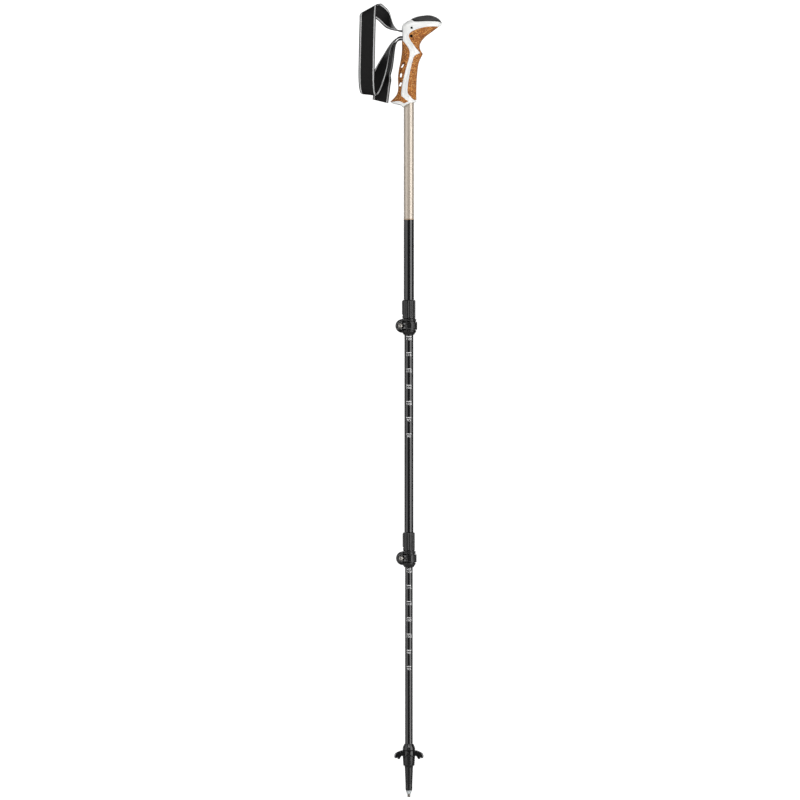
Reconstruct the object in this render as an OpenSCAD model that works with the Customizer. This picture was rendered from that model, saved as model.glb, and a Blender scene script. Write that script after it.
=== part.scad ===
// Three-section trekking pole with two lever locks, beaked cork grip, wrist strap and small basket.
// Millimetres. The origin is the end of the carbide point, +Z runs up the pole, the beak points to +X.

/* [Tubes] */
// Outer diameter of the upper tube
upper_d = 16; // [15.8:0.1:16.4]
// Outer diameter of the middle tube
middle_d = 14; // [13.9:0.05:14.1]
// Outer diameter of the lower tube
lower_d = 12; // [11.9:0.05:12.1]
// Wall of every tube
tube_wall = 0.9; // [0.85:0.01:0.95]

/* [Lengths] */
// Travel of the lower tube from the 120 cm setting until its tip meets the lower lock
lower_travel = 272; // [240:1:280]
// Travel of the middle tube from the 120 cm setting until the two locks meet
middle_travel = 304; // [290:1:320]
// Length of upper tube that shows between the upper lock and the grip
upper_show = 297; // [280:1:320]
// Length of middle tube that stays inside the upper tube
middle_insert = 105; // [95:1:110]
// Length of lower tube that stays inside the middle tube
lower_insert = 90.5; // [85:0.5:95]

/* [Lever locks] */
// Height of a lock from the end of its cone to the top of its sleeve
lock_h = 54; // [52:1:58]
// Height of the clamping screw above the end of the cone
screw_rise = 14; // [14:0.1:14.5]
// Wall of the sleeve round its tube
sleeve_wall = 2.15; // [2:0.05:2.4]
// Radius of the two round ears
ear_r = 10.6; // [10:0.1:10.8]
// Width of the slot that lets the clamp close
clamp_gap = 2; // [1.5:0.1:2.2]
// Height of the lever
lever_h = 12.2; // [11.6:0.1:12.4]
// Thickness of the lever's curved arm
lever_t = 2.4; // [2:0.1:2.6]

/* [Tip and basket] */
// Height of the bell's top edge on the lower tube
bell_top = 82; // [82:0.5:84]
// Outer radius of the basket
basket_r = 22.6; // [20:0.1:24]
// Radius of the carbide point
carbide_r = 2.25; // [2:0.05:2.4]

/* [Grip] */
// Half of the grip's width at the handle
handle_half_w = 13; // [12.6:0.1:13.6]
// Half of the grip's width at the head
head_half_w = 16; // [15.8:0.1:16.6]

/* [Wrist strap] */
// Width of the webbing
strap_w = 25; // [23:0.5:25]
// Thickness of the webbing
strap_t = 2.2; // [1.6:0.1:2.2]

/* [Hidden] */
$fn = 96;
slip = 0.05; // radial clearance of everything that turns or slides
eps = 0.01;

lower_cone_z = bell_top + lower_travel;
upper_cone_z = lower_cone_z + lock_h + middle_travel;
lower_lock_z = lower_cone_z + screw_rise;
upper_lock_z = upper_cone_z + screw_rise;
seat_rise = 11.5; // a tube ends this far above the screw of the lock that is fixed on it
grip_z = upper_cone_z + lock_h + upper_show;
upper_tube_top = grip_z + 91;
middle_tube_z = lower_lock_z + seat_rise;
middle_tube_top = upper_lock_z + seat_rise + middle_insert;
lower_tube_z = 58;
lower_tube_top = middle_tube_z + lower_insert;

// A curve through hand-placed points (Catmull-Rom).
function near(p, i) = p[max(0, min(len(p) - 1, i))];
function blend4(a, b, c, d, t) =
    0.5 * (2 * b + (c - a) * t + (2 * a - 5 * b + 4 * c - d) * t * t + (3 * b - a - 3 * c + d) * t * t * t);
function smooth(p, steps = 4) = [
    for (i = [0 : len(p) - 2], s = [0 : steps - 1])
        blend4(near(p, i - 1), near(p, i), near(p, i + 1), near(p, i + 2), s / steps),
    p[len(p) - 1]
];
function mirrored(p) = concat(p, [for (i = [len(p) - 1 : -1 : 0]) [p[i].x, -p[i].y]]);

// Side outlines of the grip, [forward, up] from the grip's lowest point.
back_line = smooth([
    [-29, 8.3], [-25.5, 11.5], [-20.5, 17], [-17.5, 23], [-16.5, 31], [-17, 45], [-15.5, 58], [-12.5, 73],
    [-10.8, 87], [-10.8, 101], [-10, 110], [-11, 118], [-10.5, 124], [-6.5, 131], [2, 135.5], [13, 140],
    [27.5, 142], [36, 141.3], [44.5, 137.7], [49, 133.5], [51, 129]
]);
beak_line = smooth([
    [50, 126.5], [46, 123.7], [34, 115], [26, 109], [20, 102.5], [17, 96], [17, 90.5], [19.5, 85]
]);
finger_line = smooth([[21.3, 81.8], [18, 75], [15, 67], [13.2, 54], [12, 39], [11.6, 22], [11.8, 11]]);
base_line = [[10.7, 8], [1, 6], [-5, 3], [-8.5, 0], [-12, 3.2], [-17, 4.5], [-24, 5.5]];
grip_outline = concat(back_line, beak_line, finger_line, base_line);

// Where the cork panels and the cap meet the white core, in the same two directions.
front_cork_edge = concat(
    smooth([
        [60, 123.6], [46, 123.6], [37.5, 124], [30.5, 123.5], [23.5, 122.5], [16.5, 120.8], [10, 118.4],
        [5.8, 116.7], [2.3, 114.3], [0.3, 111.5], [0, 108], [1.6, 104], [5, 98.5], [9.2, 93], [13.3, 88],
        [17.3, 83.6]
    ]),
    smooth([
        [17.2, 83], [13.3, 81.6], [9.2, 78.8], [6.8, 75], [5.4, 70], [4, 64.7], [2.1, 56], [0.4, 46.6],
        [-1, 38.3], [-2, 30], [-2.2, 23], [-1, 19.7], [2.5, 16], [5.6, 12.5], [8, 11.3], [12, 11.3]
    ]),
    [[60, 11.3]]
);
back_cork_edge = concat(
    [[-40, 103]],
    smooth([
        [-10.8, 103], [-6.6, 98.4], [-2.5, 93], [-0.1, 88.8], [1.1, 84.7], [1.1, 80.6], [-0.1, 74.4],
        [-2.5, 66], [-4.9, 58], [-8.2, 45], [-9.9, 37], [-11.3, 28], [-12, 20.4], [-11.3, 16.6],
        [-8.6, 14.2], [-4.4, 10.8], [-1, 8.7]
    ]),
    smooth([
        [-1, 8.7], [-4.4, 6.7], [-7.5, 5.5], [-9.9, 6.7], [-13.4, 8.4], [-17.5, 9.1], [-22.3, 8.7], [-28, 7.9]
    ]),
    [[-40, 7.9]]
);
cap_edge = concat(
    [[2.3, 150], [2.3, 135.6]],
    smooth([
        [2.3, 135.6], [5.1, 133.5], [7.8, 131.7], [11.3, 131.1], [20, 131.7], [30.5, 132.2], [40.8, 131.9],
        [47, 131.1], [55, 128.6]
    ]),
    [[55, 150]]
);

// Half widths of the grip seen from the front, [across, up], and its outlines seen from above.
front_half = smooth([
    [14, -1], [14, 8], [handle_half_w, 17], [handle_half_w - 0.2, 32], [handle_half_w + 0.4, 47],
    [handle_half_w, 62], [handle_half_w - 0.4, 77], [handle_half_w, 87], [14.8, 97], [head_half_w, 107],
    [head_half_w, 122], [15.2, 130], [12.5, 135], [9, 139], [4, 143]
]);
front_other_half = [for (i = [len(front_half) - 1 : -1 : 0]) [-front_half[i].x, front_half[i].y]];
head_plan = mirrored(smooth([
    [-11.4, 12.9], [-8, 15.4], [0, 16.6], [12, 16.4], [25, 14], [38, 10.5], [47, 6.5], [51.4, 1.5]
]));
handle_plan = mirrored(smooth([
    [-17.4, 4], [-15.5, 9.5], [-10, 12.9], [-3, 13.8], [4, 13.5], [10, 11.4], [15, 8.5], [22, 5]
]));
foot_plan = mirrored(smooth([[-29.4, 3], [-27, 8], [-20, 12.5], [-10, 14], [0, 14], [7, 12.3], [12.4, 8]]));
neck_z = 86; // the head's plan takes over above this
foot_z = 24; // and the foot's plan below this

// Strap mechanism in the head, [forward, up].
upper_pin = [4.2, 121.6];
lower_pin = [3.6, 109.1];
upper_pin_r = 1.5;
lower_pin_r = 2;
pin_length = 2 * head_half_w - 0.6;
cavity_half_w = 12.8;

module across(points, half_w = 20) {
    rotate([90, 0, 0]) linear_extrude(2 * half_w, center = true) polygon(points);
}

module grip_envelope() {
    intersection() {
        across(grip_outline);
        rotate([90, 0, 90]) linear_extrude(100, center = true) polygon(concat(front_half, front_other_half));
        union() {
            translate([0, 0, neck_z]) linear_extrude(60) polygon(head_plan);
            translate([0, 0, foot_z]) linear_extrude(neck_z - foot_z) polygon(handle_plan);
            translate([0, 0, -2]) linear_extrude(foot_z + 2) polygon(foot_plan);
        }
    }
}

// The part of the white core that the cork and the cap cover.
module core_spine() {
    translate([0, 0, 8.4]) cylinder(r = upper_d / 2 + 1.5, h = 90);
    translate([-9, -11, 86]) cube([20, 22, 13]);
    intersection() {
        across([
            [-9, 98], [14, 98], [16, 103], [22, 110.5], [32, 117.5], [44, 124.5], [44, 127], [30, 128.5],
            [-9, 128.5]
        ]);
        linear_extrude(200)
            polygon(mirrored([[-9, 14.3], [14, 14.3], [24, 12], [40, 7.5], [44, 5.5]]));
    }
}

// Room for the webbing, its wedge and the two slots that open to the back.
module strap_cavity() {
    translate([lower_pin.x, 0, lower_pin.y]) rotate([90, 0, 0])
        cylinder(r = 8.2, h = 2 * cavity_half_w, center = true);
    translate([-2.5, -cavity_half_w, 100.9]) cube([11.5, 2 * cavity_half_w, 26.1]);
    translate([-8, -cavity_half_w, 114.8]) cube([6, 2 * cavity_half_w, 12.2]);
    translate([-8, -cavity_half_w, 100.9]) cube([6, 2 * cavity_half_w, 9.3]);
    translate([-14, -cavity_half_w, 115.4]) cube([7, 2 * cavity_half_w, 3.6]);
    translate([-14, -cavity_half_w, 102.4]) cube([7, 2 * cavity_half_w, 7.6]);
}

module cross_hole(at, r) {
    translate([at.x, 0, at.y]) rotate([90, 0, 0]) cylinder(r = r, h = 60, center = true);
}

module tube_room() {
    translate([0, 0, -5]) cylinder(d = upper_d, h = 96);
}

module grip_core() {
    color("#ededea") translate([0, 0, grip_z]) difference() {
        union() {
            difference() {
                grip_envelope();
                across(front_cork_edge);
                across(back_cork_edge);
                across(cap_edge);
            }
            core_spine();
        }
        strap_cavity();
        tube_room();
        cross_hole(upper_pin, upper_pin_r);
        cross_hole(lower_pin, lower_pin_r);
    }
}

module front_cork() {
    color("#b5713a") translate([0, 0, grip_z]) difference() {
        intersection() {
            grip_envelope();
            across(front_cork_edge);
        }
        core_spine();
        cross_hole(lower_pin, lower_pin_r);
    }
}

// Three slanted vents with round ends go right through the back panel.
module vent(x, z, lean) {
    vent_r = 1.3;
    vent_l = 4.4;
    translate([x, 0, z]) rotate([0, lean, 0]) {
        for (end = [-1, 1]) translate([0, 0, end * vent_l / 2]) rotate([90, 0, 0])
            cylinder(r = vent_r, h = 40, center = true);
        cube([2 * vent_r, 40, vent_l], center = true);
    }
}

module rear_cork() {
    color("#b5713a") translate([0, 0, grip_z]) difference() {
        intersection() {
            grip_envelope();
            across(back_cork_edge);
        }
        core_spine();
        tube_room();
        vent(-9.5, 63.7, 33);
        vent(-12.1, 49.1, 8);
        vent(-12.8, 35.2, 18);
    }
}

module grip_cap() {
    color("#3a3a3e") translate([0, 0, grip_z]) intersection() {
        grip_envelope();
        across(cap_edge);
    }
}

module wedge_pin() {
    color("#202024") translate([0, 0, grip_z]) translate([upper_pin.x, 0, upper_pin.y]) rotate([90, 0, 0])
        cylinder(r = upper_pin_r, h = pin_length, center = true);
}

module strap_anchor_pin() {
    color("#202024") translate([0, 0, grip_z]) translate([lower_pin.x, 0, lower_pin.y]) rotate([90, 0, 0])
        cylinder(r = lower_pin_r, h = pin_length, center = true);
}

// A toothed clip that swings on the upper pin and bites the webbing.
module strap_wedge() {
    tooth = 1.2;
    toe_x = -5.5;
    half_w = strap_w / 2 - 0.2;
    color("#2b2b2e") translate([0, 0, grip_z]) difference() {
        union() {
            translate([upper_pin.x, 0, upper_pin.y]) rotate([90, 0, 0])
                cylinder(r = 3.4, h = 2 * half_w, center = true);
            across([[toe_x, 118.7], [upper_pin.x, 118.2], [upper_pin.x, 125], [toe_x, 123.5]], half_w);
        }
        cross_hole(upper_pin, upper_pin_r + slip);
        for (i = [0 : 5]) translate([toe_x + 0.8 + i * tooth, 0, 118.5]) rotate([0, 45, 0])
            cube([0.5, 40, 0.5], center = true);
    }
}

// Wrist strap: hand-placed stations along the webbing, each [place from the grip's lowest point,
// direction across the webbing].
strap_run = concat(
    [for (a = [160 : -35 : -85]) [[lower_pin.x + 3.2 * cos(a), 0, lower_pin.y + 3.2 * sin(a)], [0, 1, 0]]],
    [
        // lower slot and the strand that runs out and down to the bottom of the loop
        [[-4, 0, 107.1], [0, 1, 0]], [[-11, 0, 108.2], [0, 1, 0]], [[-16, 0, 107.3], [-0.01, 1, 0.01]],
        [[-22, 0, 102.8], [-0.06, 0.99, 0.06]], [[-28, 0.5, 94], [-0.14, 0.97, 0.14]],
        [[-33, 1.5, 82], [-0.3, 0.93, 0.22]], [[-38, 2.5, 68.5], [-0.55, 0.78, 0.3]],
        [[-44, 3, 53], [-0.74, 0.56, 0.34]], [[-51, 3.5, 37], [-0.88, 0.3, 0.36]],
        // the bend under the loop
        [[-55.5, 3.4, 28], [-0.94, 0.16, 0.26]], [[-58.6, 0.6, 22], [-0.95, 0.22, 0.2]],
        [[-61, -4, 19.2], [-0.94, 0.3, 0.12]], [[-63, -8.4, 22], [-0.95, 0.28, 0.08]],
        // the broad front band
        [[-64.6, -10.6, 31], [-0.98, 0.16, 0.04]], [[-65.3, -11, 49], [-1, 0.04, 0]],
        [[-64.8, -10.8, 77], [-1, 0, 0]],
        [[-64.2, -10.6, 105], [-1, 0, 0]], [[-63.7, -10.3, 124], [-0.99, 0, -0.1]],
        // the slanted fold over the top, tight at its low end
        [[-63.3, -9.9, 138], [-0.93, 0, -0.36]], [[-62.9, -8.8, 147], [-0.885, -0.03, -0.465]],
        [[-61.6, -5.6, 151], [-0.87, -0.06, -0.49]], [[-58.2, -1.6, 151.4], [-0.84, -0.16, -0.52]],
        [[-52.8, 1.8, 150.6], [-0.70, -0.26, -0.67]],
        // the strand that turns down into the upper slot
        [[-45.4, 6, 147.2], [-0.52, -0.34, -0.78]], [[-39.2, 7.2, 142], [-0.38, -0.36, -0.85]],
        [[-34, 6.8, 136], [-0.28, -0.55, -0.79]], [[-29.6, 5, 129.4], [-0.15, -0.78, -0.6]],
        [[-26, 3, 124.4], [-0.05, -0.92, -0.38]], [[-21.6, 1.2, 120.6], [0, -0.98, -0.2]],
        [[-16.5, 0, 118], [0, -1, -0.04]], [[-11, 0, 117], [0, -1, 0]], [[-4, 0, 116.4], [0, -1, 0]]
    ],
    [for (a = [90 : -30 : -90]) [[lower_pin.x + 6.6 * cos(a), 0, lower_pin.y + 6.6 * sin(a)], [0, -1, 0]]],
    [
        // the free tail, out of the lower slot, down behind the loop and round a kink to face the front
        [[-4, 0, 103.3], [0, -1, 0]], [[-11, 0, 104.2], [0, -1, 0]], [[-15.5, 0, 102.4], [0.01, -1, 0]],
        [[-20, 0.3, 98], [0.03, -1, -0.02]], [[-23, 1, 91], [0.06, -0.99, -0.02]],
        [[-24.6, 2.5, 80], [0.12, -0.98, -0.03]], [[-27.6, 5.5, 66.5], [0.25, -0.96, -0.05]],
        [[-31.6, 8.6, 55], [0.42, -0.9, -0.08]], [[-35.4, 10.6, 47], [0.6, -0.78, -0.12]],
        [[-39.6, 12.2, 39.5], [0.9, -0.38, -0.18]], [[-41, 12.8, 32], [0.95, -0.22, -0.2]],
        [[-42.4, 13.2, 21], [0.96, -0.16, -0.22]], [[-44, 13.6, 9.5], [0.96, -0.12, -0.24]]
    ]);
strap_places = smooth([for (s = strap_run) s[0]], 2);
strap_across = smooth([for (s = strap_run) s[1]], 2);

function unit(v) = v / norm(v);
function along(p, i) = unit(near(p, i + 1) - near(p, i - 1));
// A station may lie slanted across the webbing: it is then longer, so that the webbing keeps its width.
function slanted(w, t) = w * min(1 / norm(cross(t, w)), 1.2);
function strap_ring(i) =
    let (t = along(strap_places, i), w = slanted(unit(strap_across[i]), t), n = unit(cross(t, w)))
    [for (c = [[-1, -1], [1, -1], [1, 1], [-1, 1]])
        strap_places[i] + c.x * strap_w / 2 * w + c.y * strap_t / 2 * n];

module wrist_strap() {
    last = len(strap_places) - 1;
    points = [for (i = [0 : last], p = strap_ring(i)) p];
    sides = [for (i = [0 : last - 1], k = [0 : 3], half = [0, 1])
        let (a = 4 * i + k, b = 4 * i + (k + 1) % 4)
        half == 0 ? [a, b, a + 4] : [b, b + 4, a + 4]];
    start_end = [[0, 3, 2], [0, 2, 1]];
    far = 4 * last;
    tail_end = [[far, far + 1, far + 2], [far, far + 2, far + 3]];
    color("#1d1d1f") translate([0, 0, grip_z]) polyhedron(points, concat(start_end, sides, tail_end));
}

module plain_tube(d, z0, z1) {
    translate([0, 0, z0]) difference() {
        cylinder(d = d, h = z1 - z0);
        translate([0, 0, -1]) cylinder(d = d - 2 * tube_wall, h = z1 - z0 + 2);
    }
}

module upper_tube() {
    color("#b5a797") plain_tube(upper_d, upper_lock_z + seat_rise, upper_tube_top);
}

module middle_tube() {
    color("#18181a") plain_tube(middle_d, middle_tube_z, middle_tube_top);
}

module lower_tube() {
    color("#18181a") plain_tube(lower_d, lower_tube_z, lower_tube_top);
}

// A plug that keeps the inner tube's top end centred in the tube round it.
module guide_bush(inner_d, outer_bore_d, top) {
    head_h = 6;
    spigot_h = 24;
    bore_r = 2.4;
    color("#444448") translate([0, 0, top]) difference() {
        union() {
            translate([0, 0, 0.1]) cylinder(d = outer_bore_d - 2 * slip, h = head_h);
            translate([0, 0, -spigot_h]) cylinder(d = inner_d - 2 * tube_wall - 2 * slip, h = spigot_h + 1);
        }
        translate([0, 0, -spigot_h - 1]) cylinder(r = bore_r, h = spigot_h + head_h + 3);
    }
}

module middle_guide_bush() {
    guide_bush(middle_d, upper_d - 2 * tube_wall, middle_tube_top);
}

module lower_guide_bush() {
    guide_bush(lower_d, middle_d - 2 * tube_wall, lower_tube_top);
}

// Lever lock. tube_r is the radius of the tube that carries it, inner_r that of the tube it clamps.
screw_r = 2;
barrel_r = 2.6;
head_r = 3.2;
nut_r = 7 / sqrt(3); // corner radius of a nut 7 mm across its flats
nut_t = 3.2;
cheek_gap = 3.7; // half the space between the lever's two cheeks
flange_z = 6.6;
function hinge_at(tube_r) = [-(tube_r + 5.4), -(tube_r + 2)];
function near_ear_face(tube_r) = -(tube_r - 2.1);
function far_ear_face(tube_r) = tube_r - 0.6;

module sleeve(tube_r) {
    sleeve_r = tube_r + sleeve_wall;
    top = lock_h - screw_rise;
    groove_r = 0.7;
    groove_count = 14;
    difference() {
        union() {
            translate([0, 0, 10]) cylinder(r = sleeve_r, h = top - 11.4);
            translate([0, 0, top - 1.4]) cylinder(r1 = sleeve_r, r2 = sleeve_r - 1.2, h = 1.4);
        }
        for (i = [0 : groove_count - 1]) rotate(360 / groove_count * (i + 0.5))
            translate([sleeve_r + 0.3, 0, 12.5]) cylinder(r = groove_r, h = lock_h, $fn = 24);
    }
    // raised strip down the clamp's side
    intersection() {
        translate([0, 0, 17.5]) cylinder(r1 = sleeve_r + 0.7, r2 = sleeve_r + 0.2, h = top - 19.5);
        translate([-20, -4.4, 0]) cube([16, 8.8, 60]);
    }
}

module lock_collar(tube_r, inner_r) {
    clamp_r = tube_r + 1.6;
    flange_r = tube_r + 3.6;
    ear_x = -(tube_r + 2.2);
    hinge = hinge_at(tube_r);
    near_y = near_ear_face(tube_r);
    far_y = far_ear_face(tube_r);
    cone_h = screw_rise - flange_z - 2.5;
    color("#1b1b1d") difference() {
        union() {
            sleeve(tube_r);
            translate([0, 0, -10]) cylinder(r = clamp_r, h = 20.5);
            translate([0, 0, flange_z]) cylinder(r = flange_r, h = 4.2);
            translate([0, 0, -flange_z - 2.6]) cylinder(r = flange_r, h = 2.6);
            translate([0, 0, -screw_rise]) cylinder(r1 = inner_r + 0.7, r2 = flange_r, h = cone_h);
            translate([ear_x, far_y, 0]) rotate([90, 0, 0]) cylinder(r = ear_r, h = far_y - near_y);
        }
        translate([0, 0, seat_rise]) cylinder(r = tube_r, h = lock_h);
        translate([0, 0, -lock_h]) cylinder(r = inner_r + slip, h = 2 * lock_h);
        // the slot, and the cut above it that frees the clamp from the sleeve
        translate([-30, -clamp_gap / 2, -screw_rise - 1]) cube([30, clamp_gap, screw_rise + 12]);
        translate([-30, -30, 10.8]) cube([30 - inner_r / 2, 60, 0.7]);
        translate([hinge.x, 0, 0]) rotate([90, 0, 0]) cylinder(r = screw_r + 0.2, h = 60, center = true);
        translate([hinge.x, far_y + 1, 0]) rotate([90, 0, 0]) cylinder(r = nut_r, h = nut_t + 1, $fn = 6);
    }
}

module lock_lever(tube_r) {
    hinge = hinge_at(tube_r);
    arm_in = tube_r + 2.15;
    arm_out = arm_in + lever_t;
    arm_from = 230;
    arm_to = 352;
    cheek_r = 4;
    root_in = (arm_in + 0.8) * [cos(arm_from + 4), sin(arm_from + 4)];
    hollow_h = 6;
    color("#202022") difference() {
        translate([0, 0, -lever_h / 2]) {
            rotate(arm_from) rotate_extrude(angle = arm_to - arm_from)
                translate([arm_in, 0]) square([lever_t, lever_h]);
            translate([hinge.x, hinge.y, 0]) cylinder(r = cheek_r, h = lever_h);
            linear_extrude(lever_h) polygon([
                [hinge.x, hinge.y - cheek_r + 0.7], [hinge.x + 4.4, hinge.y - 3.2],
                [-tube_r + 3.5, -arm_out + 1.5], [-tube_r + 3.6, -arm_in - 0.6], root_in,
                [hinge.x + 4.4, near_ear_face(tube_r) - 0.5], [hinge.x + 0.6, hinge.y + cheek_r - 0.7]
            ]);
        }
        translate([hinge.x, hinge.y, 0]) cylinder(r = barrel_r + slip, h = 30, center = true);
        translate([hinge.x, hinge.y, 0]) cylinder(r = 5.9, h = 2 * cheek_gap, center = true);
        // thumb hollow along the arm
        rotate(262) rotate_extrude(angle = 66)
            translate([arm_out - 0.8, -hollow_h / 2]) square([2, hollow_h]);
    }
}

module lock_screw(tube_r) {
    hinge = hinge_at(tube_r);
    seat_y = hinge.y - 1.7;
    head_h = 2;
    tip_y = far_ear_face(tube_r) - 0.2;
    color("silver") translate([hinge.x, 0, 0]) difference() {
        union() {
            translate([0, seat_y, 0]) rotate([90, 0, 0]) cylinder(r = head_r, h = head_h);
            translate([0, tip_y, 0]) rotate([90, 0, 0]) cylinder(r = screw_r, h = tip_y - seat_y + 0.5);
        }
        for (turn = [0, 90]) translate([0, seat_y - head_h, 0]) rotate([0, turn, 0])
            cube([3.8, 2, 0.9], center = true);
    }
}

module lock_nut(tube_r) {
    hinge = hinge_at(tube_r);
    color("silver") translate([hinge.x, far_ear_face(tube_r), 0]) rotate([90, 0, 0]) difference() {
        cylinder(r = nut_r, h = nut_t, $fn = 6);
        translate([0, 0, -1]) cylinder(r = screw_r, h = nut_t + 2);
    }
}

module lock_barrel(tube_r) {
    hinge = hinge_at(tube_r);
    color("silver") translate([hinge.x, hinge.y, 0]) difference() {
        cylinder(r = barrel_r, h = lever_h, center = true);
        rotate([90, 0, 0]) cylinder(r = screw_r, h = 20, center = true);
        translate([-5, -11.7, -head_r - 0.2]) cube([10, 10, 2 * head_r + 0.4]);
    }
}

module upper_lock_collar() { translate([0, 0, upper_lock_z]) lock_collar(upper_d / 2, middle_d / 2); }
module upper_lock_lever() { translate([0, 0, upper_lock_z]) lock_lever(upper_d / 2); }
module upper_lock_screw() { translate([0, 0, upper_lock_z]) lock_screw(upper_d / 2); }
module upper_lock_nut() { translate([0, 0, upper_lock_z]) lock_nut(upper_d / 2); }
module upper_lock_barrel() { translate([0, 0, upper_lock_z]) lock_barrel(upper_d / 2); }
module lower_lock_collar() { translate([0, 0, lower_lock_z]) lock_collar(middle_d / 2, lower_d / 2); }
module lower_lock_lever() { translate([0, 0, lower_lock_z]) lock_lever(middle_d / 2); }
module lower_lock_screw() { translate([0, 0, lower_lock_z]) lock_screw(middle_d / 2); }
module lower_lock_nut() { translate([0, 0, lower_lock_z]) lock_nut(middle_d / 2); }
module lower_lock_barrel() { translate([0, 0, lower_lock_z]) lock_barrel(middle_d / 2); }

// Tip: plastic body with the bell on top, steel holder and carbide point.
holder_z = 10;
holder_spigot_r = 3;
seat_r = 7; // the basket turns on this
seat_z = 48.4;
seat_top = 71.4;
foot_seat_r = 5.3; // a rubber foot is pushed on here
foot_seat_z = 12;
foot_seat_h = 8;

module tip_shaft() {
    color("#1b1b1d") difference() {
        rotate_extrude() polygon([
            [0, holder_z], [foot_seat_r - 0.45, holder_z], [foot_seat_r, foot_seat_z],
            [foot_seat_r, foot_seat_z + foot_seat_h], [6.4, 46], [seat_r, seat_z], [seat_r, seat_top],
            [9.4, seat_top + 0.2], [9.7, seat_top + 1], [9.7, bell_top - 6.4], [9.1, bell_top - 4.6],
            [8.2, bell_top - 2.4], [7, bell_top], [0, bell_top]
        ]);
        translate([0, 0, lower_tube_z]) cylinder(d = lower_d, h = 60);
        translate([0, 0, holder_z - 1]) cylinder(r = holder_spigot_r, h = 15);
    }
}

module tip_holder() {
    flute_count = 6;
    color("silver") difference() {
        union() {
            translate([0, 0, 4.6]) cylinder(r1 = 3.1, r2 = 4.5, h = holder_z - 4.6);
            translate([0, 0, holder_z - eps]) cylinder(r = holder_spigot_r, h = 13.9 + eps);
        }
        translate([0, 0, 4]) cylinder(r = carbide_r, h = 6);
        for (i = [0 : flute_count - 1]) rotate(360 / flute_count * (i + 0.5))
            translate([4.9, 0, 4]) cylinder(r = 1.2, h = holder_z - 5, $fn = 24);
    }
}

module carbide_tip() {
    color("#6b6660") {
        cylinder(r1 = carbide_r - 0.4, r2 = carbide_r, h = 0.5);
        translate([0, 0, 0.5]) cylinder(r = carbide_r, h = 9.4);
    }
}

module basket_plan() {
    lobe_half_w = 8.5;
    circle(r = 10.4);
    intersection() {
        circle(r = basket_r);
        translate([-basket_r, -lobe_half_w]) square([2 * basket_r, 2 * lobe_half_w]);
    }
}

module basket() {
    slit_w = 7.7;
    r = basket_r;
    color("#1f1f21") difference() {
        intersection() {
            rotate_extrude() polygon([
                [seat_r + slip, seat_z], [8.8, seat_z], [9.4, 60], [9.5, 63], [13.2, 63.8], [15.4, 61.8],
                [16.4, 59], [17.4, 59], [r - 4.2, 62], [r - 3, 62], [r - 2.2, 60.2], [r - 0.8, 60.4], [r, 63],
                [r - 0.3, 65.2], [r - 1.7, 67.6], [r - 4.6, 69.4], [15, 70.9], [12.2, 71.9], [10.6, 71.2],
                [seat_r + slip, 71.2]
            ]);
            translate([0, 0, 40]) linear_extrude(40) basket_plan();
        }
        // slits that show the seat through the hub
        for (side = [0, 180]) rotate(side) translate([-slit_w / 2, -12, 64.2]) cube([slit_w, 6, 0.9]);
    }
}

grip_core();
front_cork();
rear_cork();
grip_cap();
wedge_pin();
strap_anchor_pin();
strap_wedge();
wrist_strap();
upper_tube();
upper_lock_collar();
upper_lock_lever();
upper_lock_screw();
upper_lock_nut();
upper_lock_barrel();
middle_guide_bush();
middle_tube();
lower_lock_collar();
lower_lock_lever();
lower_lock_screw();
lower_lock_nut();
lower_lock_barrel();
lower_guide_bush();
lower_tube();
tip_shaft();
tip_holder();
carbide_tip();
basket();
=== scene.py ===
"""Looks of the telescopic trekking pole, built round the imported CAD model.

Shapes are drawn in millimetres and scaled to metres when a piece is finished. Z is up the pole, the grip's beak points
to +X and the viewer stands on the -Y side.
"""
import math

import bmesh
import bpy
import numpy as np
from mathutils import Matrix, Vector


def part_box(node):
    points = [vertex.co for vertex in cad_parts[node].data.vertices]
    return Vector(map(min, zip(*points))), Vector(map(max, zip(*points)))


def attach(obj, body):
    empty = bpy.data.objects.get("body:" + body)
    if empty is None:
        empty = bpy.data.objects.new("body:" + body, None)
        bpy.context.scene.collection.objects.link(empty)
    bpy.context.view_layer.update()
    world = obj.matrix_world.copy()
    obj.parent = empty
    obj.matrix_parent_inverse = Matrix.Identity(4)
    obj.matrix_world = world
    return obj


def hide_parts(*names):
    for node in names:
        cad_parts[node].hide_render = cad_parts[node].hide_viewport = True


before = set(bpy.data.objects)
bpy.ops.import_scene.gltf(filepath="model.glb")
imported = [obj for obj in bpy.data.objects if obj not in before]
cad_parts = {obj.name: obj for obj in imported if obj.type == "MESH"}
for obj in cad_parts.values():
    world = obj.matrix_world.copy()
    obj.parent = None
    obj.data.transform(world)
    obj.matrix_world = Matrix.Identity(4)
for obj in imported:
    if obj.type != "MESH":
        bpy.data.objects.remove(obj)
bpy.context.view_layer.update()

MM = 0.001
SCENE = bpy.context.scene


def node_mm(node):
    """Lowest and highest corner of a CAD node, in millimetres."""
    lo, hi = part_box(node)
    return np.array(lo) / MM, np.array(hi) / MM


def middle_mm(node):
    lo, hi = node_mm(node)
    return (lo + hi) / 2


# Driving places and sizes, from the frame.
GRIP_Z = node_mm("grip_core")[0][2]
UPPER_R = node_mm("upper_tube")[1][0]
MIDDLE_R = node_mm("middle_tube")[1][0]
LOWER_R = node_mm("lower_tube")[1][0]
WALL = 0.9
UPPER_LOCK_Z = middle_mm("upper_lock_nut")[2]
LOWER_LOCK_Z = middle_mm("lower_lock_nut")[2]


# ---- Camera, light and floor

def put(name, data):
    """Links a new object to the scene."""
    made = bpy.data.objects.new(name, data)
    SCENE.collection.objects.link(made)
    return made


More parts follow.
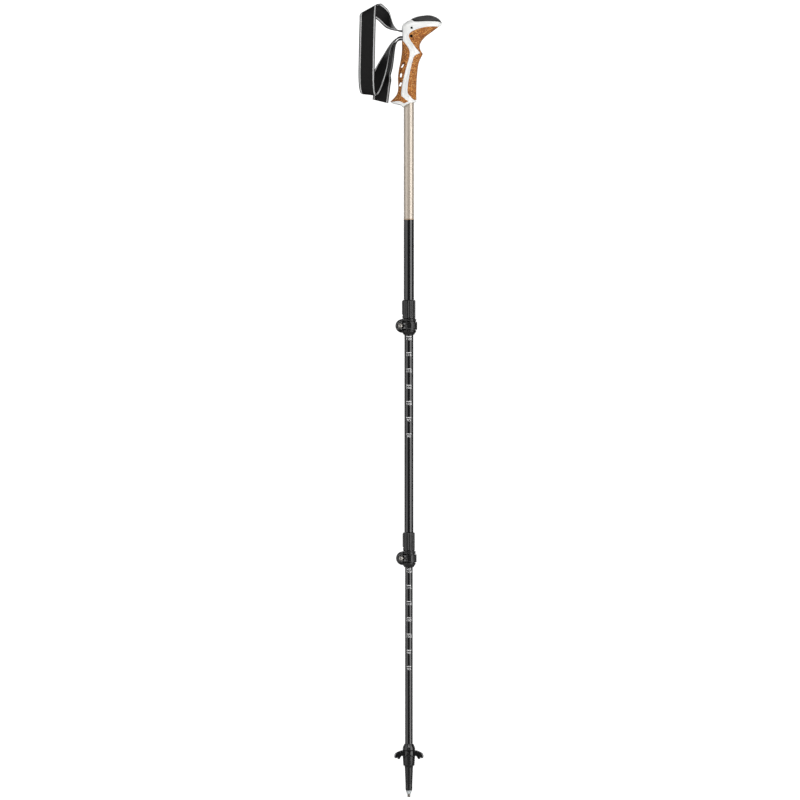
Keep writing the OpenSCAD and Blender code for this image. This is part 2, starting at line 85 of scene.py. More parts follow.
def make_camera():
    """Looks level along +Y from far away, as the photograph's long lens does."""
    view_height = 1.2328
    centre = Vector((-0.0137, 0, 0.6118))
    data = bpy.data.cameras.new("camera")
    data.lens = 300
    data.sensor_width = 36
    data.clip_end = 100
    distance = view_height / 2 / math.tan(math.atan(data.sensor_width / 2 / data.lens))
    SCENE.camera = put("camera", data)
    SCENE.camera.location = centre - Vector((0, distance, 0))
    SCENE.camera.rotation_euler = (math.radians(90), 0, 0)


def softbox(name, azimuth, distance, height, width, tall, power):
    """A rectangular light that stands upright and faces the pole. Azimuth 0 is the viewer's side, 90 is +X."""
    data = bpy.data.lights.new(name, "AREA")
    data.shape = "RECTANGLE"
    data.size = width
    data.size_y = tall
    data.energy = power
    light = put(name, data)
    angle = math.radians(azimuth)
    light.location = (distance * math.sin(angle), -distance * math.cos(angle), height)
    aim = Vector((0, 0, min(height, 0.7))) - light.location
    light.rotation_euler = aim.to_track_quat("-Z", "Y").to_euler()


def make_light():
    softbox("key_box", 50, 1.6, 0.62, 1.2, 2.4, 30)
    softbox("fill_box", -60, 1.6, 0.62, 1.8, 2.4, 18)
    softbox("front_box", 0, 2.4, 2.2, 1.4, 0.9, 24)
    softbox("back_box", 180, 1.9, 2.3, 1.8, 1, 44)
    softbox("back_left", -145, 1.8, 0.8, 0.6, 1.8, 6)
    softbox("back_right", 145, 1.8, 0.8, 0.6, 1.8, 6)
    world = bpy.data.worlds.new("studio")
    SCENE.world = world
    world.use_nodes = True
    tree = world.node_tree
    tree.nodes.clear()
    seen = node(tree, "Background", {"Color": (1, 1, 1, 1), "Strength": 1.15})
    ambient = node(tree, "Background", {"Color": (0.93, 0.96, 1, 1), "Strength": 0.07})
    path = node(tree, "LightPath")
    mix = node(tree, "MixShader", {0: path.outputs["Is Camera Ray"], 1: ambient.outputs[0], 2: seen.outputs[0]})
    node(tree, "OutputWorld", {"Surface": mix.outputs[0]})
    SCENE.view_settings.view_transform = "Standard"


def make_floor():
    """A round pale floor, low enough to clear the tip when both sections are drawn out."""
    top, base, radius = -52, -56, 750
    floor = lathe("floor", [(0, base), (radius, base), (radius, top), (0, top)], 96)
    floor.data.transform(Matrix.Scale(MM, 4))
    floor.data.materials.append(floor_material())


# ---- Materials

def node(tree, kind, inputs=None, **settings):
    """Adds a shader node. An input is a value or another node's output."""
    made = tree.nodes.new("ShaderNode" + kind)
    for key, value in settings.items():
        setattr(made, key, value)
    for key, value in (inputs or {}).items():
        if isinstance(value, bpy.types.NodeSocket):
            tree.links.new(value, made.inputs[key])
        else:
            made.inputs[key].default_value = value
    return made


def start_material(name, colour, roughness, **principled):
    """A material with a Principled shader. Returns the material, its tree and the shader."""
    material = bpy.data.materials.new(name)
    material.use_nodes = True
    material.diffuse_color = (*colour, 1)
    tree = material.node_tree
    shader = tree.nodes["Principled BSDF"]
    shader.inputs["Base Color"].default_value = (*colour, 1)
    shader.inputs["Roughness"].default_value = roughness
    for key, value in principled.items():
        shader.inputs[key.replace("_", " ")].default_value = value
    return material, tree, shader


def place(tree, stretch=(1, 1, 1)):
    """The point on the object in metres, stretched."""
    where = node(tree, "TexCoord")
    return node(tree, "Mapping", {"Vector": where.outputs["Object"], "Scale": stretch}).outputs[0]


def noise(tree, scale, detail=3, stretch=(1, 1, 1)):
    inputs = {"Vector": place(tree, stretch), "Scale": scale, "Detail": detail}
    return node(tree, "TexNoise", inputs).outputs["Fac"]


def ramp(tree, value, *stops):
    """A colour ramp. Each stop is (position, colour)."""
    made = node(tree, "ValToRGB", {"Fac": value})
    elements = made.color_ramp.elements
    while len(elements) < len(stops):
        elements.new(0.5)
    for element, (position, colour) in zip(elements, stops):
        element.position = position
        element.color = (*colour, 1)
    return made.outputs["Color"]


def grey(level):
    return (level, level, level)


def spread(tree, value, low, high, from_low=0.3, from_high=0.7):
    """Maps a texture value onto a range."""
    return node(tree, "MapRange", {
        "Value": value, "From Min": from_low, "From Max": from_high, "To Min": low, "To Max": high}).outputs[0]


def mix_colour(tree, amount, a, b, blend="MIX"):
    made = tree.nodes.new("ShaderNodeMix")
    made.data_type = "RGBA"
    made.blend_type = blend
    for socket, value in ((made.inputs[0], amount), (made.inputs[6], a), (made.inputs[7], b)):
        if isinstance(value, bpy.types.NodeSocket):
            tree.links.new(value, socket)
        else:
            socket.default_value = (*value, 1) if socket.type == "RGBA" else value
    return made.outputs[2]


def multiply(tree, amount, a, b):
    return mix_colour(tree, amount, a, b, "MULTIPLY")


def tint(shader, colour):
    shader.id_data.links.new(colour, shader.inputs["Base Color"])


def roughen(shader, value):
    shader.id_data.links.new(value, shader.inputs["Roughness"])


def bump(shader, height, strength, distance_mm):
    made = node(shader.id_data, "Bump", {"Height": height, "Strength": strength, "Distance": distance_mm * MM})
    shader.id_data.links.new(made.outputs[0], shader.inputs["Normal"])


def times(tree, a, b):
    return node(tree, "Math", {0: a, 1: b}, operation="MULTIPLY").outputs[0]


def add_values(tree, a, b, weight):
    return node(tree, "Math", {0: a, 1: times(tree, b, weight)}, operation="ADD").outputs[0]


def edge_wear_and_highlight(tree):
    """1 on sharp outer edges, 0 elsewhere."""
    return spread(tree, node(tree, "NewGeometry").outputs["Pointiness"], 0, 1, 0.52, 0.62)


def floor_material():
    """White to the viewer and dim to everything else, so that it doesn't light up the pole's lower end."""
    material, tree, shader = start_material("pale_floor", (0.9, 0.9, 0.9), 0.9)
    tone = noise(tree, 3)
    tint(shader, ramp(tree, tone, (0.3, grey(0.89)), (0.7, grey(0.91))))
    shader.inputs["Emission Color"].default_value = (1, 1, 1, 1)
    shader.inputs["Emission Strength"].default_value = 0.85
    dim = node(tree, "BsdfDiffuse", {"Color": (0.40, 0.40, 0.40, 1)})
    path = node(tree, "LightPath")
    mix = node(tree, "MixShader", {0: path.outputs["Is Camera Ray"], 1: dim.outputs[0], 2: shader.outputs[0]})
    tree.links.new(mix.outputs[0], tree.nodes["Material Output"].inputs["Surface"])
    return material


def white_plastic():
    material, tree, shader = start_material("satin_white_plastic", (0.82, 0.82, 0.80), 0.36, Coat_Weight=0.25)
    tone = ramp(tree, noise(tree, 60, 4), (0.3, (0.78, 0.785, 0.77)), (0.7, (0.84, 0.84, 0.825)))
    specks = ramp(tree, noise(tree, 900, 2), (0.70, grey(1)), (0.78, (0.80, 0.78, 0.74)))
    tint(shader, multiply(tree, 0.5, tone, specks))
    roughen(shader, spread(tree, noise(tree, 350, 4), 0.30, 0.44))
    bump(shader, noise(tree, 2600, 2), 0.25, 0.05)
    return material


def cork():
    """Ground cork: pressed granules a millimetre or so across, with dark bark specks between."""
    material, tree, shader = start_material("ground_cork", (0.44, 0.17, 0.05), 0.82)
    wander = node(tree, "TexNoise", {"Vector": place(tree), "Scale": 420, "Detail": 2})
    shifted = node(tree, "VectorMath", {0: wander.outputs["Color"], "Scale": 0.0011}, operation="SCALE")
    where = node(tree, "VectorMath", {0: place(tree, (1, 1, 0.8)), 1: shifted.outputs[0]}, operation="ADD").outputs[0]
    cells = node(tree, "TexVoronoi", {"Vector": where, "Scale": 880})
    seams = node(tree, "TexVoronoi", {"Vector": where, "Scale": 880}, feature="DISTANCE_TO_EDGE")
    shade = node(tree, "SeparateColor", {"Color": cells.outputs["Color"]}).outputs[0]
    tone = ramp(tree, shade, (0, (0.11, 0.030, 0.005)), (0.18, (0.32, 0.095, 0.013)), (0.5, (0.51, 0.175, 0.025)),
                (0.8, (0.66, 0.28, 0.052)), (1, (0.86, 0.50, 0.19)))
    seam = ramp(tree, seams.outputs["Distance"], (0, (0.45, 0.36, 0.30)), (0.10, grey(1)))
    clouds = ramp(tree, noise(tree, 90, 4), (0.25, (0.80, 0.72, 0.66)), (0.75, grey(1)))
    bark = ramp(tree, noise(tree, 1300, 3, (1, 1, 0.6)), (0.33, (0.30, 0.19, 0.12)), (0.40, grey(1)))
    colour = multiply(tree, 0.9, multiply(tree, 0.8, tone, seam), clouds)
    tint(shader, multiply(tree, 0.85, colour, bark))
    roughen(shader, spread(tree, shade, 0.68, 0.9, 0, 1))
    relief = add_values(tree, spread(tree, seams.outputs["Distance"], 0, 1, 0, 0.12), noise(tree, 1800, 3), 0.6)
    bump(shader, relief, 0.55, 0.18)
    return material


def cap_rubber(name, base, grain, roughness):
    """Soft cap material with a fine leather-like grain."""
    material, tree, shader = start_material(name, grey(base), roughness)
    cells = node(tree, "TexVoronoi", {"Vector": place(tree), "Scale": grain}, feature="DISTANCE_TO_EDGE")
    pores = spread(tree, cells.outputs["Distance"], 0, 1, 0, 0.25)
    tint(shader, ramp(tree, pores, (0, grey(base * 0.55)), (1, grey(base * 1.25))))
    roughen(shader, spread(tree, noise(tree, 500, 3), roughness - 0.07, roughness + 0.08))
    bump(shader, pores, 0.6, 0.12)
    return material


def uv_wave(tree, direction, scale, turn=0):
    """Ribs in the webbing's own flat directions, in which one unit is a millimetre."""
    where = node(tree, "UVMap", uv_map="cloth")
    turned = node(tree, "Mapping", {"Vector": where.outputs[0], "Rotation": (0, 0, math.radians(turn))})
    return node(tree, "TexWave", {"Vector": turned.outputs[0], "Scale": scale}, bands_direction=direction)


def webbing(name, dark, light, sheen):
    """Polyester webbing: slanted ribs of twill crossed by the weft, with a painted highlight where the threads crown
    and painted shade in the grooves between them.
    """
    material, tree, shader = start_material(name, light, 0.62, Sheen_Weight=sheen, Sheen_Roughness=0.35)
    shader.inputs["Specular IOR Level"].default_value = 0.2
    twill = uv_wave(tree, "X", 0.38, 38).outputs["Fac"]
    weft = uv_wave(tree, "Y", 0.55).outputs["Fac"]
    relief = add_values(tree, twill, weft, 0.7)
    # Painted highlight and shade from the weave's relief: the dark colour is painted shade in the grooves, the light
    # colour a painted highlight on the thread crowns.
    tone = ramp(tree, spread(tree, relief, 0, 1, 0.2, 1.5), (0, dark), (1, light))
    fade = ramp(tree, noise(tree, 45, 4), (0.3, grey(0.75)), (0.7, grey(1)))
    fuzz = ramp(tree, noise(tree, 3200, 2), (0.35, grey(0.7)), (0.7, grey(1)))
    tint(shader, multiply(tree, 1, multiply(tree, 1, tone, fade), fuzz))
    bump(shader, relief, 0.6, 0.14)
    return material


def painted_tube(name, colour, metallic, roughness, coat, flake):
    """Lacquer over metal: fine flakes, faint drawing lines along the tube and rubbed patches."""
    material, tree, shader = start_material(name, colour, roughness, Metallic=metallic, Coat_Weight=coat,
                                            Coat_Roughness=0.12)
    low = tuple(c * (1 - flake) for c in colour)
    high = tuple(min(1, c * (1 + flake)) for c in colour)
    flakes = ramp(tree, noise(tree, 5200, 2), (0.3, low), (0.7, high))
    lines = ramp(tree, noise(tree, 700, 3, (1, 1, 0.02)), (0.3, grey(0.94)), (0.7, grey(1)))
    tint(shader, multiply(tree, 1, flakes, lines))
    roughen(shader, spread(tree, noise(tree, 240, 5, (1, 1, 0.12)), roughness - 0.04, roughness + 0.06))
    bump(shader, noise(tree, 900, 2, (1, 1, 0.03)), 0.08, 0.03)
    return material


def moulded_plastic(name, base, roughness, wear_and_highlight_grey, wear_and_highlight_amount):
    """Glass-filled black plastic: fine spark texture, sharp outer edges painted paler and a few scuffs. The pale edges
    are rubbed wear; on the lever they are strengthened into a painted highlight along its rims.
    """
    material, tree, shader = start_material(name, grey(base), roughness)
    shader.inputs["Specular IOR Level"].default_value = 0.6
    grain = ramp(tree, noise(tree, 2400, 3), (0.3, grey(base * 0.8)), (0.7, grey(base * 1.25)))
    # Pale sharp edges: rubbed wear, and with the lever's larger amount a painted highlight along its rims.
    rubbed = times(tree, times(tree, edge_wear_and_highlight(tree), noise(tree, 700, 4)), wear_and_highlight_amount)
    tint(shader, mix_colour(tree, rubbed, grain, grey(wear_and_highlight_grey)))
    roughen(shader, spread(tree, noise(tree, 420, 4), roughness - 0.08, roughness + 0.1))
    bump(shader, noise(tree, 3600, 2), 0.15, 0.03)
    return material


def metal(name, colour, roughness, metallic=1):
    """Plated or sintered metal with fine scratches; a dull plating is less metallic."""
    material, tree, shader = start_material(name, colour, roughness, Metallic=metallic)
    dull = tuple(c * 0.86 for c in colour)
    tint(shader, ramp(tree, noise(tree, 800, 4), (0.3, dull), (0.65, colour)))
    roughen(shader, spread(tree, noise(tree, 1600, 3), roughness - 0.08, roughness + 0.14))
    bump(shader, noise(tree, 2600, 3), 0.2, 0.04)
    return material


def printed_ink():
    """Pale screen print that is thin in places."""
    material, tree, shader = start_material("printed_ink", grey(0.75), 0.45)
    tint(shader, ramp(tree, noise(tree, 2200, 3), (0.28, grey(0.55)), (0.48, grey(0.82))))
    return material


# ---- Solid modelling, in millimetres

def smooth(points, steps=4):
    """A curve through given points (Catmull-Rom), as in the CAD source."""
    p = np.array(points, float)
    t = np.arange(steps)[:, None] / steps
    curve = []
    for i in range(len(p) - 1):
        a, b, c, d = p[max(i - 1, 0)], p[i], p[i + 1], p[min(i + 2, len(p) - 1)]
        bend, twist = 2 * a - 5 * b + 4 * c - d, 3 * b - a - 3 * c + d
        curve.append(0.5 * (2 * b + (c - a) * t + bend * t ** 2 + twist * t ** 3))
    return np.vstack(curve + [p[-1:]])


def raw_mesh(name, points, faces):
    mesh = bpy.data.meshes.new(name)
    mesh.from_pydata([tuple(p) for p in points], [], faces)
    return mesh


def outwards(mesh):
    """Puts a closed mesh in the scene with its faces turned outwards."""
    work = bmesh.new()
    work.from_mesh(mesh)
    bmesh.ops.recalc_face_normals(work, faces=work.faces)
    work.to_mesh(mesh)
    work.free()
    return put(mesh.name, mesh)


def solid(name, points, faces):
    return outwards(raw_mesh(name, points, faces))


def prism(outline, low, high, plane="XY"):
    """An outline pushed along the third direction. In plane XZ, it runs from low to high along Y."""
    outline = [tuple(p) for p in outline]
    n = len(outline)
    if plane == "XZ":
        points = [(x, y, z) for y in (low, high) for x, z in outline]
    else:
        points = [(x, y, z) for z in (low, high) for x, y in outline]
    sides = [(i, (i + 1) % n, n + (i + 1) % n, n + i) for i in range(n)]
    return solid("prism", points, [tuple(range(n))[::-1], tuple(range(n, 2 * n))] + sides)


def block(low, high):
    (x0, y0, z0), (x1, y1, z1) = low, high
    return prism([(x0, y0), (x1, y0), (x1, y1), (x0, y1)], z0, z1)


def lathe(name, profile, segments=96):
    """A closed profile of (radius, height) turned round Z. A radius of 0 is a point on the axis."""
    points, rings = [], []
    for radius, height in profile:
        count = 1 if radius == 0 else segments
        rings.append([len(points) + k for k in range(count)])
        for k in range(count):
            angle = 2 * math.pi * k / segments
            points.append((radius * math.cos(angle), radius * math.sin(angle), height))
    faces = []
    for a, b in zip(rings, rings[1:] + rings[:1]):
        if len(a) == 1 and len(b) == 1:
            continue
        for k in range(segments):
            corners = [a[k % len(a)], a[(k + 1) % segments % len(a)], b[(k + 1) % segments % len(b)], b[k % len(b)]]
            faces.append(tuple(dict.fromkeys(corners)))
    return solid(name, points, faces)


def rod(radius, start, end, segments=64):
    """A plain round bar between two points."""
    start, end = Vector(start), Vector(end)
    length = (end - start).length
    made = lathe("rod", [(0, 0), (radius, 0), (radius, length), (0, length)], segments)
    turn = (end - start).to_track_quat("Z", "Y").to_matrix().to_4x4()
    made.data.transform(Matrix.Translation(start) @ turn)
    return made


def rods_round(count, radius, low, high, segments):
    """Round bars set evenly about Z. Each runs from one (distance from Z, height) to the other."""
    bars = []
    for k in range(count):
        angle = 2 * math.pi * (k + 0.5) / count
        ends = [(r * math.cos(angle), r * math.sin(angle), z) for r, z in (low, high)]
        bars.append(rod(radius, *ends, segments))
    return bars


def turned_pin(name, lower_half, segments):
    """A pin whose two ends are alike, from the profile of its lower half."""
    return lathe(name, lower_half + [(r, -z) for r, z in reversed(lower_half)], segments)


def bake(target):
    """Applies the modifiers of a piece to its mesh."""
    graph = bpy.context.evaluated_depsgraph_get()
    mesh = bpy.data.meshes.new_from_object(target.evaluated_get(graph))
    target.modifiers.clear()
    target.data = mesh
    return target


def combine(target, operation, tools):
    for tool in tools:
        made = target.modifiers.new("combine", "BOOLEAN")
        made.operation = operation
        made.solver = "MANIFOLD"
        made.object = tool
    bake(target)
    for tool in tools:
        bpy.data.objects.remove(tool)
    return target


def cut(target, *tools):
    return combine(target, "DIFFERENCE", tools)


def join(target, *tools):
    return combine(target, "UNION", tools)


def keep(target, *tools):
    return combine(target, "INTERSECT", tools)


def copy_of(source):
    made = source.copy()
    made.data = source.data.copy()
    SCENE.collection.objects.link(made)
    return made


def soften(target, voxel, rounds=3):
    """Evens out the mesh and rounds its edges, as a mould does."""
    made = target.modifiers.new("even", "REMESH")
    made.mode = "VOXEL"
    made.voxel_size = voxel
    made = target.modifiers.new("round", "SMOOTH")
    made.factor = 0.5
    made.iterations = rounds
    return bake(target)


def moved(target, x=0, y=0, z=0):
    target.data.transform(Matrix.Translation((x, y, z)))
    return target


def finish_piece(piece, name, body, materials, replaced=()):
    """Scales a piece to metres, gives it its looks and lets it ride on its body."""
    piece.name = name
    piece.data.name = name
    piece.data.transform(Matrix.Scale(MM, 4))
    if materials:
        piece.data.materials.clear()
    for material in materials:
        piece.data.materials.append(material)
    piece.data.shade_smooth()
    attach(piece, body)
    if replaced:
        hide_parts(*replaced)
    return piece


# ---- Grip. Places are [forward, up] from the grip's lowest point, the same as in the CAD source.

BACK_LINE = [
    (-29, 8.3), (-25.5, 11.5), (-20.5, 17), (-17.5, 23), (-16.5, 31), (-17, 45), (-15.5, 58), (-12.5, 73),
    (-10.8, 87), (-10.8, 101), (-10, 110), (-11, 118), (-10.5, 124), (-6.5, 131), (2, 135.5), (13, 140), (27.5, 142)]
FRONT_LINE = [
    (11.8, 11), (11.6, 22), (12, 39), (13.2, 54), (15, 67), (18, 75), (21.3, 81.8), (19.5, 85), (17, 90.5), (17, 96),
    (20, 102.5), (26, 109), (34, 115), (46, 123.7), (50, 126.5), (51, 129), (49, 133.5), (44.5, 137.7), (36, 141.3),
    (27.5, 142)]
BASE_LINE = [
    (-60, 20), (-34, 11.5), (-29, 8.3), (-24, 5.5), (-17, 4.5), (-12, 3.2), (-8.5, 0), (-5, 3), (1, 6), (10.7, 8),
    (14, 9.4), (60, 9.4), (60, 200), (-60, 200)]
FRONT_CORK_HEAD = [
    (60, 123.6), (46, 123.6), (37.5, 124), (30.5, 123.5), (23.5, 122.5), (16.5, 120.8), (10, 118.4), (5.8, 116.7),
    (2.3, 114.3), (0.3, 111.5), (0, 108), (1.6, 104), (5, 98.5), (9.2, 93), (13.3, 88), (17.3, 83.6)]
FRONT_CORK_HANDLE = [
    (17.2, 83), (13.3, 81.6), (9.2, 78.8), (6.8, 75), (5.4, 70), (4, 64.7), (2.1, 56), (0.4, 46.6), (-1, 38.3),
    (-2, 30), (-2.2, 23), (-1, 19.7), (2.5, 16), (5.6, 12.5), (8, 11.3), (12, 11.3)]
BACK_CORK_SIDE = [
    (-10.8, 103), (-6.6, 98.4), (-2.5, 93), (-0.1, 88.8), (1.1, 84.7), (1.1, 80.6), (-0.1, 74.4), (-2.5, 66),
    (-4.9, 58), (-8.2, 45), (-9.9, 37), (-11.3, 28), (-12, 20.4), (-11.3, 16.6), (-8.6, 14.2), (-4.4, 10.8), (-1, 8.7)]
BACK_CORK_FOOT = [
    (-1, 8.7), (-4.4, 6.7), (-7.5, 5.5), (-9.9, 6.7), (-13.4, 8.4), (-17.5, 9.1), (-22.3, 8.7), (-28, 7.9)]
CAP_EDGE = [
    (2.3, 135.6), (5.1, 133.5), (7.8, 131.7), (11.3, 131.1), (20, 131.7), (30.5, 132.2), (40.8, 131.9), (47, 131.1),
    (55, 128.6)]
CAP_PAD_EDGE = [
    (6, 150), (6, 136.2), (8.6, 134), (12, 132.9), (20, 133.3), (30.5, 133.7), (40.8, 133.4), (46, 132.8),
    (49.4, 131.4), (55, 131), (55, 150)]
# Ribbon's channel: [forward, up, half width].
CHANNEL = [
    (-3.2, 112, 1), (-4, 106, 1.6), (-1.5, 100, 2), (2.6, 93.5, 2.2), (6.2, 87.5, 2.2), (6, 81, 1.7),
    (3.4, 74.4, 1.4), (1, 66, 1.4), (-1.1, 58, 1.5), (-4, 45, 1.9), (-5.5, 37, 2), (-6.7, 28, 2.2),
    (-6.8, 20.4, 2.2), (-3.4, 15, 1.8), (0.6, 12, 1.2)]

# Windows through the palm side: [forward, up, end radius, straight length, lean], and the carved hollows round them.
VENTS = [(-9.5, 63.7, 1.15, 5, 33), (-12.1, 49.1, 1.4, 4.2, 8), (-12.8, 35.2, 1.4, 4, 18)]
VENT_HOLLOWS = [
    [(-13, 58.8), (-12.1, 62.5), (-9.6, 67), (-6.6, 69.6), (-6.2, 66), (-8, 62.2), (-10.4, 59.6)],
    [(-14.4, 44.8), (-14.7, 49), (-14.2, 54), (-12.8, 57), (-10, 54.8), (-9.2, 51), (-10, 46.8), (-12, 43.4)],
    [(-14.9, 30.6), (-15.1, 35), (-14.2, 39.4), (-12.4, 42), (-10.1, 39.8), (-10, 36), (-11.2, 32), (-13, 29.4)]]

HALF_WIDTH = [  # [up, half width across] seen from the front
    (-4, 14), (8, 14), (17, 13), (32, 12.8), (47, 13.4), (62, 13), (77, 12.6), (87, 13), (97, 14.8), (107, 16),
    (122, 16), (130, 15.2), (135, 12.5), (139, 9), (142, 5)]
FOOT_PLAN = [(-29.4, 3), (-27, 8), (-20, 12.5), (-10, 14), (0, 14), (7, 12.3), (12.4, 8)]
HANDLE_PLAN = [(-17.4, 4), (-15.5, 9.5), (-10, 12.9), (-3, 13.8), (4, 13.5), (10, 11.4), (15, 8.5), (22, 5)]
HEAD_PLAN = [(-11.4, 12.9), (-8, 15.4), (0, 16.6), (12, 16.4), (25, 14), (38, 10.5), (47, 6.5), (51.4, 1.5)]
UPPER_PIN = (4.2, 121.6)
LOWER_PIN = (3.6, 109.1)


def ease(value, start, end):
    t = np.clip((value - start) / (end - start), 0, 1)
    return t * t * (3 - 2 * t)


def read(curve, key):
    """Reads a smooth curve at a key. The curve's first column rises."""
    return np.interp(key, curve[:, 0], curve[:, 1])


def plan_width(curves, x, up):
    """Half width of the plan at x, as a share of its widest, blended from foot to handle to head."""
    foot, handle, head = (read(c, x) / c[:, 1].max() for c in curves)
    lower = handle + (foot - handle) * (1 - ease(up, 17, 31))
    return lower + (head - lower) * ease(up, 78, 96)


def grip_form(inset=0):
    """The whole grip as one closed form, drawn as level sections from foot to crown."""
    back = smooth(BACK_LINE, 6)[:, ::-1]
    front = smooth(FRONT_LINE, 6)[:, ::-1]
    half = smooth(HALF_WIDTH, 4)
    plans = [smooth(p, 4) for p in (FOOT_PLAN, HANDLE_PLAN, HEAD_PLAN)]
    levels = np.unique(np.round(np.concatenate([[-4, 0, 4], np.arange(8, 140, 0.9), back[:, 0], front[:, 0]]), 2))
    levels = levels[levels <= 141.97]
    turns = np.linspace(0, math.pi, 41)
    points = []
    for up in levels:
        x0, x1 = read(back, up) + inset, read(front, up) - inset
        middle, reach = (x0 + x1) / 2, max((x1 - x0) / 2, 0.3)
        u = np.cos(turns)
        square_back = 2.6 + 10 * ease(up, 92, 101) * (1 - 0.8 * ease(up, 122, 131))
        power = np.where(u < 0, square_back, 2.6 + 1.2 * ease(up, 92, 104))
        rounding = (1 - np.abs(u) ** power).clip(0) ** (1 / power)
        x = middle + reach * u
        y = np.maximum(read(half, up) - inset, 0.3) * plan_width(plans, x, up) * rounding
        z = up - inset * ease(up, 124, 140)
        points.extend((a, -b, z) for a, b in zip(x, y))
        points.extend((a, b, z) for a, b in zip(x[-2:0:-1], y[-2:0:-1]))
    ring = 2 * len(turns) - 2
    faces = [tuple(range(ring)), tuple(range(len(points) - ring, len(points)))]
    for level in range(len(levels) - 1):
        a, b = level * ring, (level + 1) * ring
        faces += [(a + k, a + (k + 1) % ring, b + (k + 1) % ring, b + k) for k in range(ring)]
    return solid("grip_form", points, faces)


def across(outline):
    """An outline pushed right through the pole from side to side."""
    return prism(outline, -40, 40, "XZ")


def channel_outline():
    curve = smooth(CHANNEL, 4)
    side = np.gradient(curve[:, :2], axis=0)
    side = np.stack([-side[:, 1], side[:, 0]], 1) / np.linalg.norm(side, axis=1)[:, None]
    left = curve[:, :2] + side * curve[:, 2:]
    right = curve[:, :2] - side * curve[:, 2:]
    return np.vstack([left, right[::-1]])


def slot_outline(x, up, radius, straight, lean):
    """A slot with round ends, leaning forward."""
    turn = math.radians(lean)
    points = []
    for end, start in ((1, 0), (-1, 180)):
        for k in range(13):
            a = math.radians(start + 15 * k)
            px, pz = radius * math.cos(a), end * straight / 2 + radius * math.sin(a)
            points.append((x + px * math.cos(turn) + pz * math.sin(turn),
                           up - px * math.sin(turn) + pz * math.cos(turn)))
    return points


def recess(outline, depth):
    """What has to be cut away to sink an outline into both sides of the grip by a depth."""
    return cut(across(outline), grip_form(depth))


def front_cork_outline():
    return np.vstack([smooth(FRONT_CORK_HEAD), smooth(FRONT_CORK_HANDLE), [(60, 11.3)]])


def back_cork_outline():
    return np.vstack([[(-40, 103)], smooth(BACK_CORK_SIDE), smooth(BACK_CORK_FOOT)[1:], [(-40, 7.9)]])


def cap_outline():
    return np.vstack([[(2.3, 150)], smooth(CAP_EDGE), [(55, 150)]])


def strap_room():
    """Slots and inner room for the webbing."""
    half = 12.8
    room = block((-2.5, -half, 100.9), (9, half, 126.9))
    return join(
        room, rod(8.2, (LOWER_PIN[0], -half, LOWER_PIN[1]), (LOWER_PIN[0], half, LOWER_PIN[1])),
        block((-8, -half, 114.8), (0, half, 126.9)), block((-8, -half, 100.9), (0, half, 110.2)),
        block((-16, -half, 115.4), (-7, half, 119)), block((-16, -half, 102.4), (-7, half, 110)))


def pin_hole(at, radius):
    return rod(radius, (at[0], -30, at[1]), (at[0], 30, at[1]))


def grip_bore():
    return rod(UPPER_R + 0.02, (0, 0, -10), (0, 0, 91), 96)


def make_grip():
    form = keep(grip_form(), across(BASE_LINE))

    core = copy_of(form)
    cut(core, across(front_cork_outline()), across(back_cork_outline()), across(cap_outline()))
    cut(core, strap_room(), grip_bore(), pin_hole(UPPER_PIN, 1.85), pin_hole(LOWER_PIN, 2.25))
    cut(core, recess(channel_outline(), 0.55))
    soften(core, 0.42)
    finish_piece(moved(core, z=GRIP_Z), "grip_shell", "grip_section", [WHITE], ["grip_core"])

    front = keep(copy_of(form), across(front_cork_outline()))
    cut(front, grip_bore(), pin_hole(LOWER_PIN, 2.3))
    soften(front, 0.42, 4)
    finish_piece(moved(front, z=GRIP_Z), "cork_finger_side", "grip_section", [CORK], ["front_cork"])

    rear = keep(copy_of(form), across(back_cork_outline()))
    cut(rear, grip_bore())
    for hollow in VENT_HOLLOWS:
        cut(rear, recess(smooth(hollow + hollow[:1])[:-1], 2.2))
    for x, up, radius, straight, lean in VENTS:
        cut(rear, across(slot_outline(x, up, radius, straight, lean)))
    soften(rear, 0.4, 3)
    finish_piece(moved(rear, z=GRIP_Z), "cork_palm_side", "grip_section", [CORK], ["rear_cork"])

    cap = keep(copy_of(form), across(cap_outline()))
    cut(cap, recess(CAP_PAD_EDGE, 1.3))
    soften(cap, 0.42)
    finish_piece(moved(cap, z=GRIP_Z), "cap_rim", "grip_section", [CAP_RIM], ["grip_cap"])

    pad = cut(keep(grip_form(0.3), across(CAP_PAD_EDGE)), grip_form(1.5))
    soften(pad, 0.36)
    finish_piece(moved(pad, z=GRIP_Z), "cap_pad", "grip_section", [CAP_PAD])

    bpy.data.objects.remove(form)
    for name, at, radius, cad in (("wedge_pin_ends", UPPER_PIN, 1.65, "wedge_pin"),
                                  ("anchor_pin_ends", LOWER_PIN, 2, "strap_anchor_pin")):
        end = -node_mm(cad)[1][1]
        pin = turned_pin(name, [(0, end + 0.7), (radius * 0.45, end + 0.4), (radius * 0.55, end), (radius * 0.8, end),
                                (radius, end + 0.3)], 48)
        pin.data.transform(Matrix.Rotation(math.radians(90), 4, "X"))
        finish_piece(moved(pin, at[0], 0, at[1] + GRIP_Z), name, "grip_section", [DARK_PIN], [cad])


# ---- Wrist strap: the same stations as in the CAD source. Each is a place on the webbing's middle line,
# then the direction across the webbing.

STRAP_WIDTH = 25
STRAP_THICKNESS = 2.2
SELVEDGE_POWER = 14  # how square the webbing's edges are
LIGHT_LINE = (9.4, 11.2)  # from the middle of the webbing
LINE_RIDGE = 0.08


def turn_round_pin(radius, angles, side):
    x, z = LOWER_PIN
    turns = [math.radians(a) for a in angles]
    return [(x + radius * math.cos(a), 0, z + radius * math.sin(a), 0, side, 0) for a in turns]


